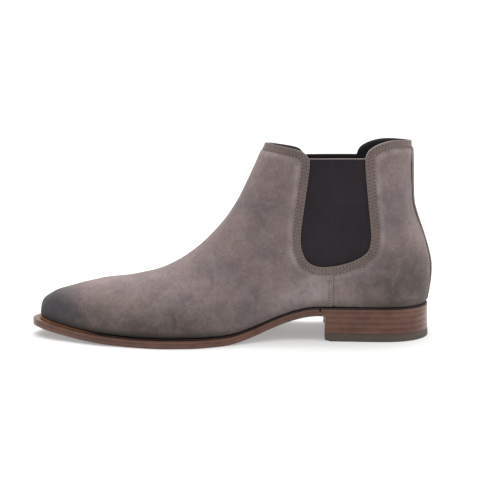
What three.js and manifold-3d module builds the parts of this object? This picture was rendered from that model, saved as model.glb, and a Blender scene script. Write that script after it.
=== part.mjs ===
// A man's chelsea boot for the right foot: a one-piece vamp, two quarters joined by a back stay,
// an elastic gore let into each side, a lined and stiffened upper lasted under an insole board,
// and a leather bottom of rand, welt, outsole and a stacked heel with a rubber top piece.
//
// Millimetres, +Z up, toe towards -X, inner (medial) side towards -Y, standing on z = 0.
// The upper is drawn as one smooth last surface. Every leather, elastic and lining piece is a layer
// at its own depth below that surface, cut to its pattern outline in the side view.
import * as THREE from "three";
import { mergeVertices } from "three/addons/utils/BufferGeometryUtils.js";
import Module from "manifold-3d";

const wasm = await Module();
wasm.setup();

// ---- Driving dimensions ---------------------------------------------------------------------
const lastLength = 308; // upper, toe to heel, at the feather line
const ballWidth = 99; // upper across the ball, at the feather line
const heelWidth = 64; // upper across the heel seat
const toeBoxHeight = 36.3; // feather line to the vamp behind the toe cap
const toeSwing = 4; // the toe tip leans this far towards the inner side
const shaftHeight = 127.5; // heel seat to the top of the back tab
const collarHalfWidth = 30; // half the empty shaft's width at the collar
const ankleHalfWidth = 35; // the same just above the heel seat
const toeSpring = 7.6; // the toe tip's lift off the ground

const topPieceThickness = 6;
const liftThickness = 4.45;
const liftCount = 3;
const heelFlare = 1; // the top piece is this much bigger all round than the heel seat
const notchLength = 5.5; // cut corner on the inner side of the top piece
const notchWidth = 7;

const toeMargin = 6; // how far the sole stands out from the feather line at the toe tip
const foreMargin = 3.6; // along the forepart
const heelMargin = 1.2; // along the waist and round the heel
const toeMarginLength = 30;
const randMargin = 0.9;
const outsoleThickness = 3.9;
const weltThickness = 1.6;
const randThickness = 0.8;
const insoleThickness = 2;
const sockThickness = 1.2;
const shankThickness = 1.5;
const shankWidth = 15;
const shankLength = 108;
const rivetInset = 12; // from each end of the shank

const leatherThickness = 1.5; // vamp and quarters
const middleThickness = 1.2; // gores, toe puff, heel counter and topline tapes
const liningThickness = 0.8;
const backStayThickness = 1;
const layerGap = 0.25; // between curved layers that lie on each other
const seamGap = 0.3; // between edges that meet

const goreMargin = 8; // hidden edge of the elastic, caught between leather and lining
const goreDrop = 13; // top edge of the elastic, below the top of the back tab
const tapeHeight = 9;
const tapeDrop = 2; // the tape's top edge, below the topline; it also ends this far from the gore
const lastingMargin = 16; // how far the upper turns in under the insole
const marginCover = 3; // the turned-in margin runs this far past the inner edge of rand and welt
const backStayTop = 10; // half width
const backStayFoot = 5.5; // half width

const nailRadius = 1;
const rivetRadius = 2;
const screwRadius = 2.2;
const holeClearance = 0.3;

// ---- Levels through the bottom, up from the sole's underside ----------------------------------
const heelTop = topPieceThickness + liftCount * liftThickness;
const weltLevel = outsoleThickness + layerGap;
const randLevel = weltLevel + weltThickness + layerGap;
const featherLevel = randLevel + randThickness + layerGap;
const leatherIn = leatherThickness;
const middleOut = leatherIn + layerGap;
const middleIn = middleOut + middleThickness;
const liningOut = middleIn + layerGap;
const liningIn = liningOut + liningThickness;
const insoleLevel = featherLevel + liningIn + layerGap;
const sockLevel = insoleLevel + insoleThickness + layerGap;
const plateGap = 2 * layerGap; // between plates of unlike outline, whose facets differ a little
const fillerLevel = outsoleThickness + plateGap;
const shankLevel = insoleLevel - plateGap - shankThickness;
const fillerTop = shankLevel - plateGap;

// ---- Small maths ------------------------------------------------------------------------------
const clamp01 = (t) => Math.min(1, Math.max(0, t));
const smooth = (t) => clamp01(t) ** 2 * (3 - 2 * clamp01(t));
const lerp = THREE.MathUtils.lerp;
// A quarter of a superellipse: 0 at t = 0 with an upright tangent, 1 from t = 1 on.
const roundOff = (t, power = 2) => (1 - (1 - clamp01(t)) ** power) ** (1 / power);

// A smooth curve y(x) through rows [x, y], as a sampled spline.
function curveThrough(rows) {
  const samples = new THREE.SplineCurve(rows.map(([x, y]) => new THREE.Vector2(x, y))).getPoints(240);
  return (x) => {
    if (x <= samples[0].x) return samples[0].y;
    let low = 0;
    let high = samples.length - 1;
    if (x >= samples[high].x) return samples[high].y;
    while (high - low > 1) {
      const middle = (low + high) >> 1;
      if (samples[middle].x > x) high = middle;
      else low = middle;
    }
    const [a, b] = [samples[low], samples[high]];
    return lerp(a.y, b.y, (x - a.x) / (b.x - a.x || 1));
  };
}

// ---- Side view: x from the toe, z up ------------------------------------------------------------
const toeX = -lastLength / 2;
const heelX = lastLength / 2;
const along = (share) => toeX + share * lastLength; // share of the last's length, from the toe
const seatZ = heelTop + featherLevel;
const up = (share) => seatZ + share * shaftHeight; // share of the shaft's height, from the seat

const treadStartX = along(0.29);
const waistStartX = along(0.467);
const waistEndX = along(0.714);
const breastX = along(0.734);

// Underside of the sole: toe spring, flat tread, then the waist's rise to the heel seat.
function soleZ(x) {
  const spring = toeSpring * clamp01((treadStartX - x) / (treadStartX - toeX)) ** 2.1;
  return spring + heelTop * smooth((x - waistStartX) / (waistEndX - waistStartX));
}
const featherZ = (x) => soleZ(x) + featherLevel;

// Front line of the upper: up the toe, along the vamp, up the instep to the front tab.
const toe = (share) => featherZ(toeX) + share * toeBoxHeight;
const vamp = (share) => featherLevel + share * toeBoxHeight;
const ridge = new THREE.SplineCurve(
  [
    [0, toe(0)], [0.0005, toe(0.13)], [0.008, toe(0.35)], [0.028, toe(0.49)], [0.06, toe(0.61)],
    [0.153, vamp(1)], [0.256, vamp(1.125)], [0.33, vamp(1.3)],
    [0.4, up(0.322)], [0.462, up(0.47)], [0.513, up(0.645)], [0.563, up(0.9)], [0.59, up(1.04)],
  ].map(([x, z]) => new THREE.Vector2(along(x), z)),
).getPoints(300);

// Back line of the upper, as how far it stands behind the heel end of the last.
const backLean = curveThrough([
  [0, -1.2], [0.08, 0.3], [0.16, 1.4], [0.24, 1.3], [0.31, -0.5], [0.39, -3.5],
  [0.465, -6.8], [0.54, -10.2], [0.62, -13.1], [0.73, -14.1], [0.9, -14.8], [1.06, -16.2],
]);
const backX = (z) => heelX + backLean((z - seatZ) / shaftHeight);

// ---- Plan view: half widths of the upper at the feather line --------------------------------------
const halfBall = ballWidth / 2;
const halfHeel = heelWidth / 2;
const widths = (ballRows, heelRows) =>
  curveThrough([
    ...ballRows.map(([share, width]) => [along(share), width * halfBall]),
    ...heelRows.map(([share, width]) => [along(share), width * halfHeel]),
  ]);
const innerWidth = widths(
  [[0, 0.47], [0.06, 0.55], [0.134, 0.68], [0.19, 0.79], [0.3, 0.97], [0.36, 1], [0.42, 0.97], [0.51, 0.79]],
  [[0.6, 0.95], [0.68, 0.91], [0.78, 0.955], [0.86, 1], [1, 1]],
);
const outerWidth = widths(
  [
    [0, 0.49], [0.06, 0.6], [0.134, 0.73], [0.19, 0.83], [0.3, 0.98], [0.37, 1.01], [0.45, 0.99],
    [0.52, 0.93],
  ],
  [[0.6, 1.23], [0.68, 1.1], [0.78, 1.02], [0.86, 1], [1, 1]],
);
const INNER = -1; // towards -Y
const OUTER = 1;
const toeRound = 58; // length over which the toe rounds off
const bodyWidth = (x, side) => (side === INNER ? innerWidth : outerWidth)(x);
const toeRounding = (x) => roundOff((x - toeX) / toeRound);
const centreY = (x) => -toeSwing * smooth((along(0.75) - x) / (along(0.75) - toeX));

// ---- The last surface -----------------------------------------------------------------------------
const heelRound = 36; // length over which the heel end rounds off
const collarRound = 52; // the same for both ends of the collar's oval
const wallBulge = 1.4; // the upper swells out this much just above the feather line
const bulgeHeight = 13;
const shaftStart = 12; // height where the foot's width starts to turn into the shaft's
const shaftBlend = 63; // and the height that this takes
const WALL_POWER = 2.1; // a little fuller than a circle
const RIDGE_SHARE = 0.88; // share of a section over which its ridge rounds off, in the forepart

// Half width of the upper at a point of the side view that lies `fromRidge` behind its front line.
function halfWidth(x, z, side, fromRidge, ridgeRound) {
  const height = z - featherZ(x);
  const swell = wallBulge * clamp01(height / bulgeHeight) ** 0.7;
  const shaft = lerp(ankleHalfWidth, collarHalfWidth, clamp01((z - seatZ) / shaftHeight));
  const foot = (bodyWidth(x, side) + swell) * toeRounding(x);
  const body = lerp(foot, shaft, smooth((height - shaftStart) / shaftBlend));
  const backRound = lerp(heelRound, collarRound, smooth((z - seatZ) / shaftHeight));
  const rounding = roundOff(fromRidge / ridgeRound, WALL_POWER);
  return body * rounding * roundOff((backX(z) - x) / backRound, WALL_POWER);
}

// The surface is swept by sections that start at stations along the feather line, close together
// round the toe and heel, and go on up the back line. Each section is upright as far as the pivot,
// then turns about it like a fan until it lies level at the collar.
const pivot = new THREE.Vector2(along(0.287), up(1.04));
const STATIONS = 28;
const BACK_SECTIONS = 6;
const SECTIONS = STATIONS + BACK_SECTIONS;
const HALF_POINTS = 7; // points from the front line to the base, on each side
const RING = 2 * HALF_POINTS;
const FULL_TURN = 0.7; // share of a quarter turn by which a section has the collar's rounding
const EVEN_TURN = 0.6; // and by which its points gather at both ends alike
const featherEndX = backX(seatZ);
const stationX = (i) => {
  const t = i / STATIONS;
  return lerp(toeX, featherEndX, lerp(t, (1 - Math.cos(Math.PI * t)) / 2, 0.75));
};

function sectionBase(i) {
  if (i <= STATIONS) return new THREE.Vector2(stationX(i), featherZ(stationX(i)));
  const z = lerp(seatZ, pivot.y, (i - STATIONS) / BACK_SECTIONS);
  return new THREE.Vector2(backX(z), z);
}

// Where the line to a section's base crosses the front line of the upper.
function ridgeOnLine(from, base) {
  const side = (p) => (base.x - from.x) * (p.y - from.y) - (base.y - from.y) * (p.x - from.x);
  for (let i = ridge.length - 1; i > 0; i--) {
    const [a, b] = [side(ridge[i]), side(ridge[i - 1])];
    if (a >= 0 !== b >= 0) return ridge[i].clone().lerp(ridge[i - 1], a / (a - b));
  }
  return ridge[0].clone();
}

// One section: points from the inner base, over the front line, to the outer base.
function section(i) {
  const base = sectionBase(i);
  const from = new THREE.Vector2(Math.min(base.x, pivot.x), pivot.y);
  const front = ridgeOnLine(from, base);
  const length = front.distanceTo(base);
  const turn = 1 - Math.atan2(from.y - base.y, base.x - from.x) / (Math.PI / 2);
  // The first section is a single point, so its rounding is given some length.
  const ridgeRound = lerp(RIDGE_SHARE * length, collarRound, smooth(turn / FULL_TURN)) || 1;
  const backward = smooth(turn / EVEN_TURN);
  const point = (n, side) => {
    const t = n / HALF_POINTS;
    const share = lerp(1 - Math.cos((Math.PI / 2) * t), (1 - Math.cos(Math.PI * t)) / 2, backward);
    const at = front.clone().lerp(base, share);
    const atBack = i >= STATIONS && n === HALF_POINTS;
    const width = atBack ? 0 : halfWidth(at.x, at.y, side, share * length, ridgeRound);
    return new THREE.Vector3(at.x, centreY(at.x) + side * width, at.y);
  };
  const inner = Array.from({ length: HALF_POINTS }, (_, n) => point(HALF_POINTS - n, INNER));
  const outer = Array.from({ length: HALF_POINTS }, (_, n) => point(n + 1, OUTER));
  return [...inner, point(0, INNER), ...outer];
}
const sections = Array.from({ length: SECTIONS + 1 }, (_, i) => section(i));

// ---- Solids ---------------------------------------------------------------------------------------
function manifoldOf(geometry) {
  geometry.deleteAttribute("normal");
  geometry.deleteAttribute("uv");
  const merged = mergeVertices(geometry, 1e-4);
  const kept = [];
  const index = merged.index.array;
  for (let i = 0; i < index.length; i += 3) {
    const [a, b, c] = [index[i], index[i + 1], index[i + 2]];
    if (a !== b && b !== c && c !== a) kept.push(a, b, c);
  }
  return new wasm.Manifold(
    new wasm.Mesh({
      numProp: 3,
      vertProperties: new Float32Array(merged.attributes.position.array),
      triVerts: new Uint32Array(kept),
    }),
  );
}

function geometryOf(corners) {
  const positions = new Float32Array(corners.flatMap((p) => [p.x, p.y, p.z]));
  return new THREE.BufferGeometry().setAttribute("position", new THREE.BufferAttribute(positions, 3));
}

const quad = (a, b, c, d) => [a, b, c, a, c, d];

// The wall's normals, averaged at each point, so that a layer can be set in by its depth.
const keyOf = (p) => [p.x, p.y, p.z].map((v) => Math.round(v * 1e3)).join();
const wallNormals = new Map();
for (let i = 0; i < SECTIONS; i++) {
  for (let k = 0; k < RING; k++) {
    const corners = [sections[i][k], sections[i + 1][k], sections[i + 1][k + 1], sections[i][k + 1]];
    const normal = new THREE.Vector3().crossVectors(
      corners[2].clone().sub(corners[0]),
      corners[3].clone().sub(corners[1]),
    );
    for (const p of new Map(corners.map((c) => [keyOf(c), c])).keys()) {
      wallNormals.set(p, (wallNormals.get(p) ?? new THREE.Vector3()).add(normal));
    }
  }
}
for (const normal of wallNormals.values()) normal.normalize();
const outward = Math.sign(wallNormals.get(keyOf(sections[STATIONS / 2][HALF_POINTS])).z);
for (const normal of wallNormals.values()) normal.multiplyScalar(outward);

// A point of the last surface set in by a depth. Near the feather line it also rises by that depth,
// which is the thickness of the layers turned under the last.
const TURN_HEIGHT = 20;
function setIn(p, depth) {
  const q = p.clone().addScaledVector(wallNormals.get(keyOf(p)), -depth);
  const height = p.z - featherZ(p.x);
  q.z = lerp(q.z, featherZ(q.x) + height + depth, clamp01(1 - height / TURN_HEIGHT));
  return q;
}

// The body bounded by the surface at that depth. `headroom` lifts its lid.
function lastBody(depth, headroom = 0) {
  const rings = sections.map((ring) => ring.map((p) => setIn(p, depth)));
  if (headroom) rings.push(rings[SECTIONS].map((p) => p.clone().setZ(p.z + headroom)));
  const faces = [];
  for (let i = 0; i + 1 < rings.length; i++) {
    const [near, far] = [rings[i], rings[i + 1]];
    for (let k = 0; k < HALF_POINTS; k++) {
      const m = RING - k; // the outer half mirrors the inner one
      faces.push(...quad(near[k], far[k], far[k + 1], near[k + 1]));
      faces.push(...quad(near[m], near[m - 1], far[m - 1], far[m]));
    }
    faces.push(...quad(near[RING], far[RING], far[0], near[0]));
  }
  const lid = rings[rings.length - 1];
  for (let k = 0; k < HALF_POINTS; k++) {
    faces.push(...quad(lid[k], lid[RING - k], lid[RING - k - 1], lid[k + 1]));
  }
  const body = manifoldOf(geometryOf(faces));
  return body.volume() < 0 ? manifoldOf(geometryOf(faces.reverse())) : body;
}

// A layer of the upper between two depths.
const shell = (from, to) => lastBody(from).subtract(lastBody(to, 20));

// A prism through the whole width of the boot from an outline in the side view.
const FAR = 200;
const OVERSHOOT = 10; // how far a cutting solid runs past what it cuts
function sidePrism(outline, from = -FAR, to = FAR) {
  const shape = new THREE.Shape(outline.map(([x, z]) => new THREE.Vector2(x, z)));
  const geometry = new THREE.ExtrudeGeometry(shape, { depth: to - from, bevelEnabled: false });
  return manifoldOf(geometry.rotateX(Math.PI / 2).translate(0, to, 0));
}
const innerHalf = (outline) => sidePrism(outline, -FAR, -seamGap / 2);
const outerHalf = (outline) => sidePrism(outline, seamGap / 2, FAR);

// A prism through the bottom from an outline in the plan view.
function planPrism(outline, from, to) {
  const shape = new THREE.Shape(outline.map(([x, y]) => new THREE.Vector2(x, y)));
  const geometry = new THREE.ExtrudeGeometry(shape, { depth: to - from, bevelEnabled: false });
  return manifoldOf(geometry.translate(0, 0, from));
}

// ---- Bottom plates ----------------------------------------------------------------------------------
const endRounding = (x) => toeRounding(x) * roundOff((featherEndX - x) / heelRound, WALL_POWER);

// One side of the feather outline, moved out by margin(x) along its normal.
const rim = (margin) => (side) => {
  const at = (i) => {
    const x = stationX(i);
    return new THREE.Vector2(x, centreY(x) + side * bodyWidth(x, side) * endRounding(x));
  };
  return Array.from({ length: STATIONS + 1 }, (_, i) => {
    const p = at(i);
    const tangent = at(Math.min(i + 1, STATIONS)).sub(at(Math.max(i - 1, 0))).normalize();
    const normal = new THREE.Vector2(-tangent.y, tangent.x).multiplyScalar(side);
    if (i === 0) normal.set(-1, 0);
    if (i === STATIONS) normal.set(1, 0);
    return p.addScaledVector(normal, margin(p.x));
  });
};

// The same outline drawn in by a large amount, with its ends rounded afresh.
const core = (inset) => (side) =>
  Array.from({ length: STATIONS + 1 }, (_, i) => {
    const x = stationX(i);
    const drawn = lerp(toeX + inset, featherEndX - inset, (x - toeX) / (featherEndX - toeX));
    return new THREE.Vector2(drawn, centreY(x) + side * (bodyWidth(drawn, side) - inset) * endRounding(x));
  });

// A plate that follows the sole's curve between two levels above its underside.
function plate(edge, from, to, edgeBelow = edge, heightOf = soleZ) {
  const [low, high] = [
    [edgeBelow, from],
    [edge, to],
  ].map(([outline, level]) => {
    const [inner, outer] = [outline(INNER), outline(OUTER)];
    const raise = (p) => new THREE.Vector3(p.x, p.y, heightOf(p.x) + level);
    return inner.map((p, i) => [raise(p), raise(p.clone().lerp(outer[i], 0.5)), raise(outer[i])]);
  });
  const faces = [];
  for (let i = 0; i < STATIONS; i++) {
    for (const k of [0, 1]) {
      faces.push(...quad(high[i][k], high[i + 1][k], high[i + 1][k + 1], high[i][k + 1]));
      faces.push(...quad(low[i][k + 1], low[i + 1][k + 1], low[i + 1][k], low[i][k]));
    }
    faces.push(...quad(low[i][0], low[i + 1][0], high[i + 1][0], high[i][0]));
    faces.push(...quad(high[i][2], high[i + 1][2], low[i + 1][2], low[i][2]));
  }
  return manifoldOf(geometryOf(faces));
}

// How far the sole's edge stands out from the feather line: widest round the toe, close at the heel.
function soleMargin(x) {
  const fore = lerp(toeMargin, foreMargin, smooth((x - toeX) / toeMarginLength));
  return lerp(fore, heelMargin, smooth((x - along(0.4)) / (along(0.62) - along(0.4))));
}
const randEdge = rim(() => randMargin);
const soleEdge = rim(soleMargin);

const box = (x0, x1, y0, y1, z0, z1) =>
  manifoldOf(
    new THREE.BoxGeometry(x1 - x0, y1 - y0, z1 - z0).translate((x0 + x1) / 2, (y0 + y1) / 2, (z0 + z1) / 2),
  );
const slice = (x0, x1) => box(x0, x1, -FAR, FAR, -FAR, 2 * FAR);

// A pin standing along Z, with a head disc at its top.
function pin(x, y, radius, low, high, headRadius, headHeight) {
  const profile = [
    [0, low], [radius, low + radius], [radius, high - headHeight], [headRadius, high - headHeight],
    [headRadius, high], [0, high],
  ];
  const turned = new THREE.LatheGeometry(profile.map(([r, z]) => new THREE.Vector2(r, z)), 8);
  return manifoldOf(turned.rotateX(Math.PI / 2).translate(x, y, 0));
}

// ---- Pattern outlines, in the side view ---------------------------------------------------------------
// The topline: down from the front tab, round the gore and up to the back tab.
const goreFrontShare = 0.684; // the front tab's rear edge, where the gore starts
const goreBackShare = 0.8245; // the back tab's front edge
const frontTab = [
  [0.54, 0.988], [0.576, 0.984], [0.612, 0.969], [0.655, 0.948], [0.672, 0.93], [goreFrontShare, 0.89],
];
const goreFront = [
  [0.685, 0.84], [0.679, 0.718], [0.668, 0.52], [0.665, 0.42], [0.669, 0.345], [0.684, 0.278],
];
const goreBack = [
  [0.712, 0.248], [0.758, 0.257], [0.802, 0.292], [0.831, 0.345], [0.8385, 0.42], [0.837, 0.5], [0.829, 0.69],
  [0.823, 0.85],
];
const backTab = [
  [goreBackShare, 0.91], [0.835, 0.95], [0.86, 0.982], [0.895, 1], [0.95, 0.998], [1.02, 0.992],
];
const sidePoint = ([x, z]) => new THREE.Vector2(along(x), up(z));
const topline = new THREE.SplineCurve([...frontTab, ...goreFront, ...goreBack, ...backTab].map(sidePoint))
  .getSpacedPoints(48)
  .map((p) => [p.x, p.y]);
const aboveTopline = sidePrism([...topline, [heelX + 40, 2 * FAR], [along(0.4), 2 * FAR]]);

// The gore's own outline: the opening's edge moved out by the hidden margin, cut off level at the top.
const GORE_STEPS = 28;
function goreOutline(margin) {
  const edge = new THREE.SplineCurve([frontTab.at(-1), ...goreFront, ...goreBack, backTab[0]].map(sidePoint));
  const goreTop = up(1) - goreDrop;
  const outline = Array.from({ length: GORE_STEPS + 1 }, (_, i) => {
    const tangent = edge.getTangentAt(i / GORE_STEPS);
    const outwards = new THREE.Vector2(tangent.y, -tangent.x).multiplyScalar(margin);
    return edge.getPointAt(i / GORE_STEPS).add(outwards);
  });
  return [
    [outline[0].x, goreTop], ...outline.filter((p) => p.y < goreTop - 2).map((p) => [p.x, p.y]),
    [outline.at(-1).x, goreTop],
  ];
}

const seamX = along(0.747); // the vamp meets the quarters under the gore
const WIDE = 40;
const inFront = (x) => [[toeX - WIDE, -WIDE], [x, -WIDE], [x, 2 * FAR], [toeX - WIDE, 2 * FAR]];
const behind = (x) => [[x, -WIDE], [heelX + WIDE, -WIDE], [heelX + WIDE, 2 * FAR], [x, 2 * FAR]];

// The line across the instep where the vamp lining stops and the front shaft lining starts.
const throatBack = [along(goreFrontShare), up(0.262)];
const throatFront = [along(0.4), up(0.47)];
const aboveThroat = (drop) => [
  [throatFront[0], throatFront[1] + drop], [throatBack[0], throatBack[1] + drop],
  [seamX, throatBack[1] + drop], [seamX, 2 * FAR], [throatFront[0], 2 * FAR],
];

// ---- Pieces -----------------------------------------------------------------------------------------------
const boot = new THREE.Group();

const finishes = {
  suede: { color: 0x7d7071, roughness: 0.9 },
  elastic: { color: 0x2f292c, roughness: 0.85 },
  lining: { color: 0x24242a, roughness: 0.8 },
  stiffener: { color: 0xb9a78c, roughness: 0.9 },
  board: { color: 0xa98e6c, roughness: 0.9 },
  cork: { color: 0x8d6b45, roughness: 0.95 },
  steel: { color: 0x9a9c9e, roughness: 0.4, metalness: 1 },
  brass: { color: 0xb08d4a, roughness: 0.35, metalness: 1 },
  soleLeather: { color: 0x6b4536, roughness: 0.5 },
  blackEdge: { color: 0x1d1917, roughness: 0.6 },
  rubber: { color: 0x55453b, roughness: 0.8 },
};
const materials = Object.fromEntries(
  Object.entries(finishes).map(([name, look]) => [name, new THREE.MeshStandardMaterial(look)]),
);

function add(name, solid, finish) {
  const made = solid.getMesh();
  const geometry = new THREE.BufferGeometry();
  const positions = new Float32Array(made.numVert * 3);
  for (let i = 0; i < made.numVert; i++) {
    positions.set(made.vertProperties.subarray(i * made.numProp, i * made.numProp + 3), i * 3);
  }
  geometry.setAttribute("position", new THREE.BufferAttribute(positions, 3));
  geometry.setIndex(new THREE.BufferAttribute(new Uint32Array(made.triVerts), 1));
  const mesh = new THREE.Mesh(geometry, materials[finish]);
  mesh.name = name;
  boot.add(mesh);
}

// Keeps the lasting margin: opens the underside of a layer inside that margin.
const underOpening = plate(core(lastingMargin), 0, insoleLevel + OVERSHOOT + 2);

// The outer leathers.
function addUppers() {
  const leather = shell(0, leatherIn).subtract(aboveTopline).subtract(underOpening);
  add("vamp", leather.intersect(sidePrism(inFront(seamX - seamGap / 2))), "suede");
  const back = leather.intersect(sidePrism(behind(seamX + seamGap / 2)));
  add("quarter_medial", back.intersect(innerHalf(behind(seamX))), "suede");
  add("quarter_lateral", back.intersect(outerHalf(behind(seamX))), "suede");
}

// The strip over the back seam, from the heel seat to just under the topline.
function addBackStay() {
  const strip = shell(-layerGap - backStayThickness, -layerGap);
  const [low, high] = [seatZ + randThickness, up(0.955)];
  const front = [
    [-backStayFoot, low], [backStayFoot, low], [backStayTop, high], [-backStayTop, high],
  ];
  const shape = new THREE.Shape(front.map(([y, z]) => new THREE.Vector2(y, z)));
  const wedge = new THREE.ExtrudeGeometry(shape, { depth: WIDE * 2, bevelEnabled: false });
  wedge.rotateX(Math.PI / 2).rotateZ(Math.PI / 2).translate(heelX - WIDE, 0, 0);
  add("back_stay", strip.intersect(manifoldOf(wedge)), "suede");
}

// Elastic gores, toe puff, heel counter and the tapes under the topline, all between leather and lining.
function addMiddleLayer() {
  const middle = shell(middleOut, middleIn).subtract(underOpening);
  const gore = goreOutline(goreMargin);
  add("gore_medial", middle.intersect(innerHalf(gore)), "elastic");
  add("gore_lateral", middle.intersect(outerHalf(gore)), "elastic");
  const puff = [
    [toeX - WIDE, -WIDE], [along(0.19), -WIDE], [along(0.19), featherZ(along(0.19))], [along(0.13), 2 * FAR],
    [toeX - WIDE, 2 * FAR],
  ];
  add("toe_puff", middle.intersect(sidePrism(puff)), "stiffener");
  const counter = [
    [along(0.765), 0], [along(0.775), up(0.11)], [along(0.84), up(0.17)], [along(0.885), up(0.28)],
    [along(0.91), up(0.44)], [heelX + WIDE, up(0.47)], [heelX + WIDE, 0],
  ];
  add("heel_counter", middle.intersect(sidePrism(counter)), "stiffener");
  const band = middle.subtract(aboveTopline.translate(0, 0, -tapeDrop));
  const underTab = aboveTopline.translate(0, 0, -tapeDrop - tapeHeight);
  const clear = goreMargin + tapeDrop;
  const front = band.intersect(underTab).intersect(sidePrism(inFront(along(goreFrontShare) - clear)));
  add("front_topline_tape", front, "lining");
  const back = band.intersect(underTab).intersect(sidePrism(behind(along(goreBackShare) + clear)));
  add("back_topline_tape", back, "lining");
}

// The linings, cut to the same topline as the leathers.
function addLinings() {
  const lining = shell(liningOut, liningIn).subtract(aboveTopline).subtract(underOpening);
  const front = lining.intersect(sidePrism(inFront(seamX - seamGap / 2)));
  add("vamp_lining", front.subtract(sidePrism(aboveThroat(-seamGap / 2))), "lining");
  add("front_shaft_lining", front.intersect(sidePrism(aboveThroat(seamGap / 2))), "lining");
  add("quarter_lining_medial", lining.intersect(innerHalf(behind(seamX + seamGap / 2))), "lining");
  add("quarter_lining_lateral", lining.intersect(outerHalf(behind(seamX + seamGap / 2))), "lining");
}

// Heel nails and screw are driven from inside, through the insole into the lifts.
const nailX = [along(0.8), along(0.9)];
const nailY = 0.6 * (halfHeel - lastingMargin); // inside the margin of the turned-in upper
const screwX = along(0.85);
const nailLow = topPieceThickness + liftThickness * 0.6;
const nailHigh = heelTop + insoleLevel + insoleThickness;
const headRadius = 2 * nailRadius;
const screwHeadRadius = 1.7 * screwRadius;
const headHeight = 0.8;
const heelNails = nailX.flatMap((x) => [-nailY, nailY].map((y) => [x, y]));

// Holes are cut a clearance wider than the pin, and wider again for its head.
function drill(solid) {
  const nailBores = heelNails.map(([x, y]) => [x, y, nailRadius, headRadius]);
  const screwBore = [screwX, 0, screwRadius, screwHeadRadius];
  const sinkHeight = FAR + headHeight + holeClearance;
  return [...nailBores, screwBore].reduce((cut, [x, y, radius, head]) => {
    const wide = radius + holeClearance;
    return cut.subtract(pin(x, y, wide, nailLow - 1, nailHigh + FAR, head + holeClearance, sinkHeight));
  }, solid);
}

// Brass pins of the top piece, as shares of the length and of half the heel's width.
const pieceRivets = [
  [0.785, -0.62], [0.785, 0.62], [0.86, -0.78], [0.86, 0.78], [0.935, -0.62], [0.935, 0.62], [0.97, 0],
].map(([x, y]) => [along(x), y * halfHeel]);
const rivetTop = topPieceThickness + liftThickness * 0.5;
const drillPiece = (solid) =>
  pieceRivets.reduce((cut, [x, y]) => {
    const wide = nailRadius + holeClearance;
    return cut.subtract(pin(x, y, wide, -OVERSHOOT, rivetTop + holeClearance, wide, 1));
  }, solid);

const shankEndX = nailX[0] - 2 * headRadius; // just in front of the heel nails
const shankX = [shankEndX - shankLength, shankEndX];
const rivetX = [shankX[0] + rivetInset, shankX[1] - rivetInset];

// Insole board, sock, cork filler and steel shank.
function addInside() {
  const cavity = lastBody(liningIn + layerGap, 20);
  const insole = (level, thickness) => plate(rim(() => 0), level, level + thickness).intersect(cavity);
  const board = insole(insoleLevel, insoleThickness);
  const rivetHoles = rivetX.map((x) => {
    const wide = rivetRadius + holeClearance;
    return pin(x, 0, wide, soleZ(x) + shankLevel - 3, soleZ(x) + sockLevel + 3, wide, 1);
  });
  add("insole_board", rivetHoles.reduce((cut, hole) => cut.subtract(hole), drill(board)), "board");
  add("insole_sock", insole(sockLevel, sockThickness), "lining");
  add("cork_filler", drill(plate(core(lastingMargin + 1), fillerLevel, fillerTop)), "cork");
  const strip = box(shankX[0], shankX[1], -shankWidth / 2, shankWidth / 2, -FAR, FAR);
  const shank = plate(core(lastingMargin + 1), shankLevel, shankLevel + shankThickness).intersect(strip);
  add("shank", rivetHoles.reduce((cut, hole) => cut.subtract(hole), shank), "steel");
  rivetX.forEach((x, i) => {
    const low = soleZ(x) + shankLevel;
    const high = soleZ(x) + sockLevel - layerGap;
    add(`shank_rivet_${i + 1}`, pin(x, 0, rivetRadius, low, high, rivetRadius, 1), "steel");
  });
}

// Rand, welt, heel rand and outsole.
function addSole() {
  const weltEndX = along(0.718);
  const opening = plate(core(lastingMargin - marginCover), -OVERSHOOT, insoleLevel + 2 * OVERSHOOT);
  const ring = (edge, level, thickness) => plate(edge, level, level + thickness).subtract(opening);
  add("rand", ring(randEdge, randLevel, randThickness), "blackEdge");
  const welt = ring(soleEdge, weltLevel, weltThickness);
  add("welt", welt.intersect(slice(toeX - WIDE, weltEndX - seamGap / 2)), "soleLeather");
  add("heel_rand", welt.intersect(slice(weltEndX + seamGap / 2, heelX + WIDE)), "soleLeather");
  add("outsole", drill(plate(soleEdge, 0, outsoleThickness)), "soleLeather");
}

// The heel in plan, from its slightly hollow front face, the breast, to beyond its back.
const breastHollow = 2.5;
const breastSkew = 0.08; // it stands square to the heel's own axis, which is turned from the boot's
const breastAt = (y) => breastX + breastSkew * y + breastHollow * (1 - (2 * y / heelWidth) ** 2);
function heelPlan() {
  const reach = heelWidth / 2 + WIDE;
  const breast = Array.from({ length: 25 }, (_, i) => {
    const y = lerp(-reach, reach, i / 24);
    return [breastAt(y), y];
  }).filter(([, y]) => Math.abs(y) < 0.7 * heelWidth);
  const side = breast.at(-1)[1];
  return [...breast, [heelX + WIDE, side], [heelX + WIDE, -side]];
}

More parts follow.
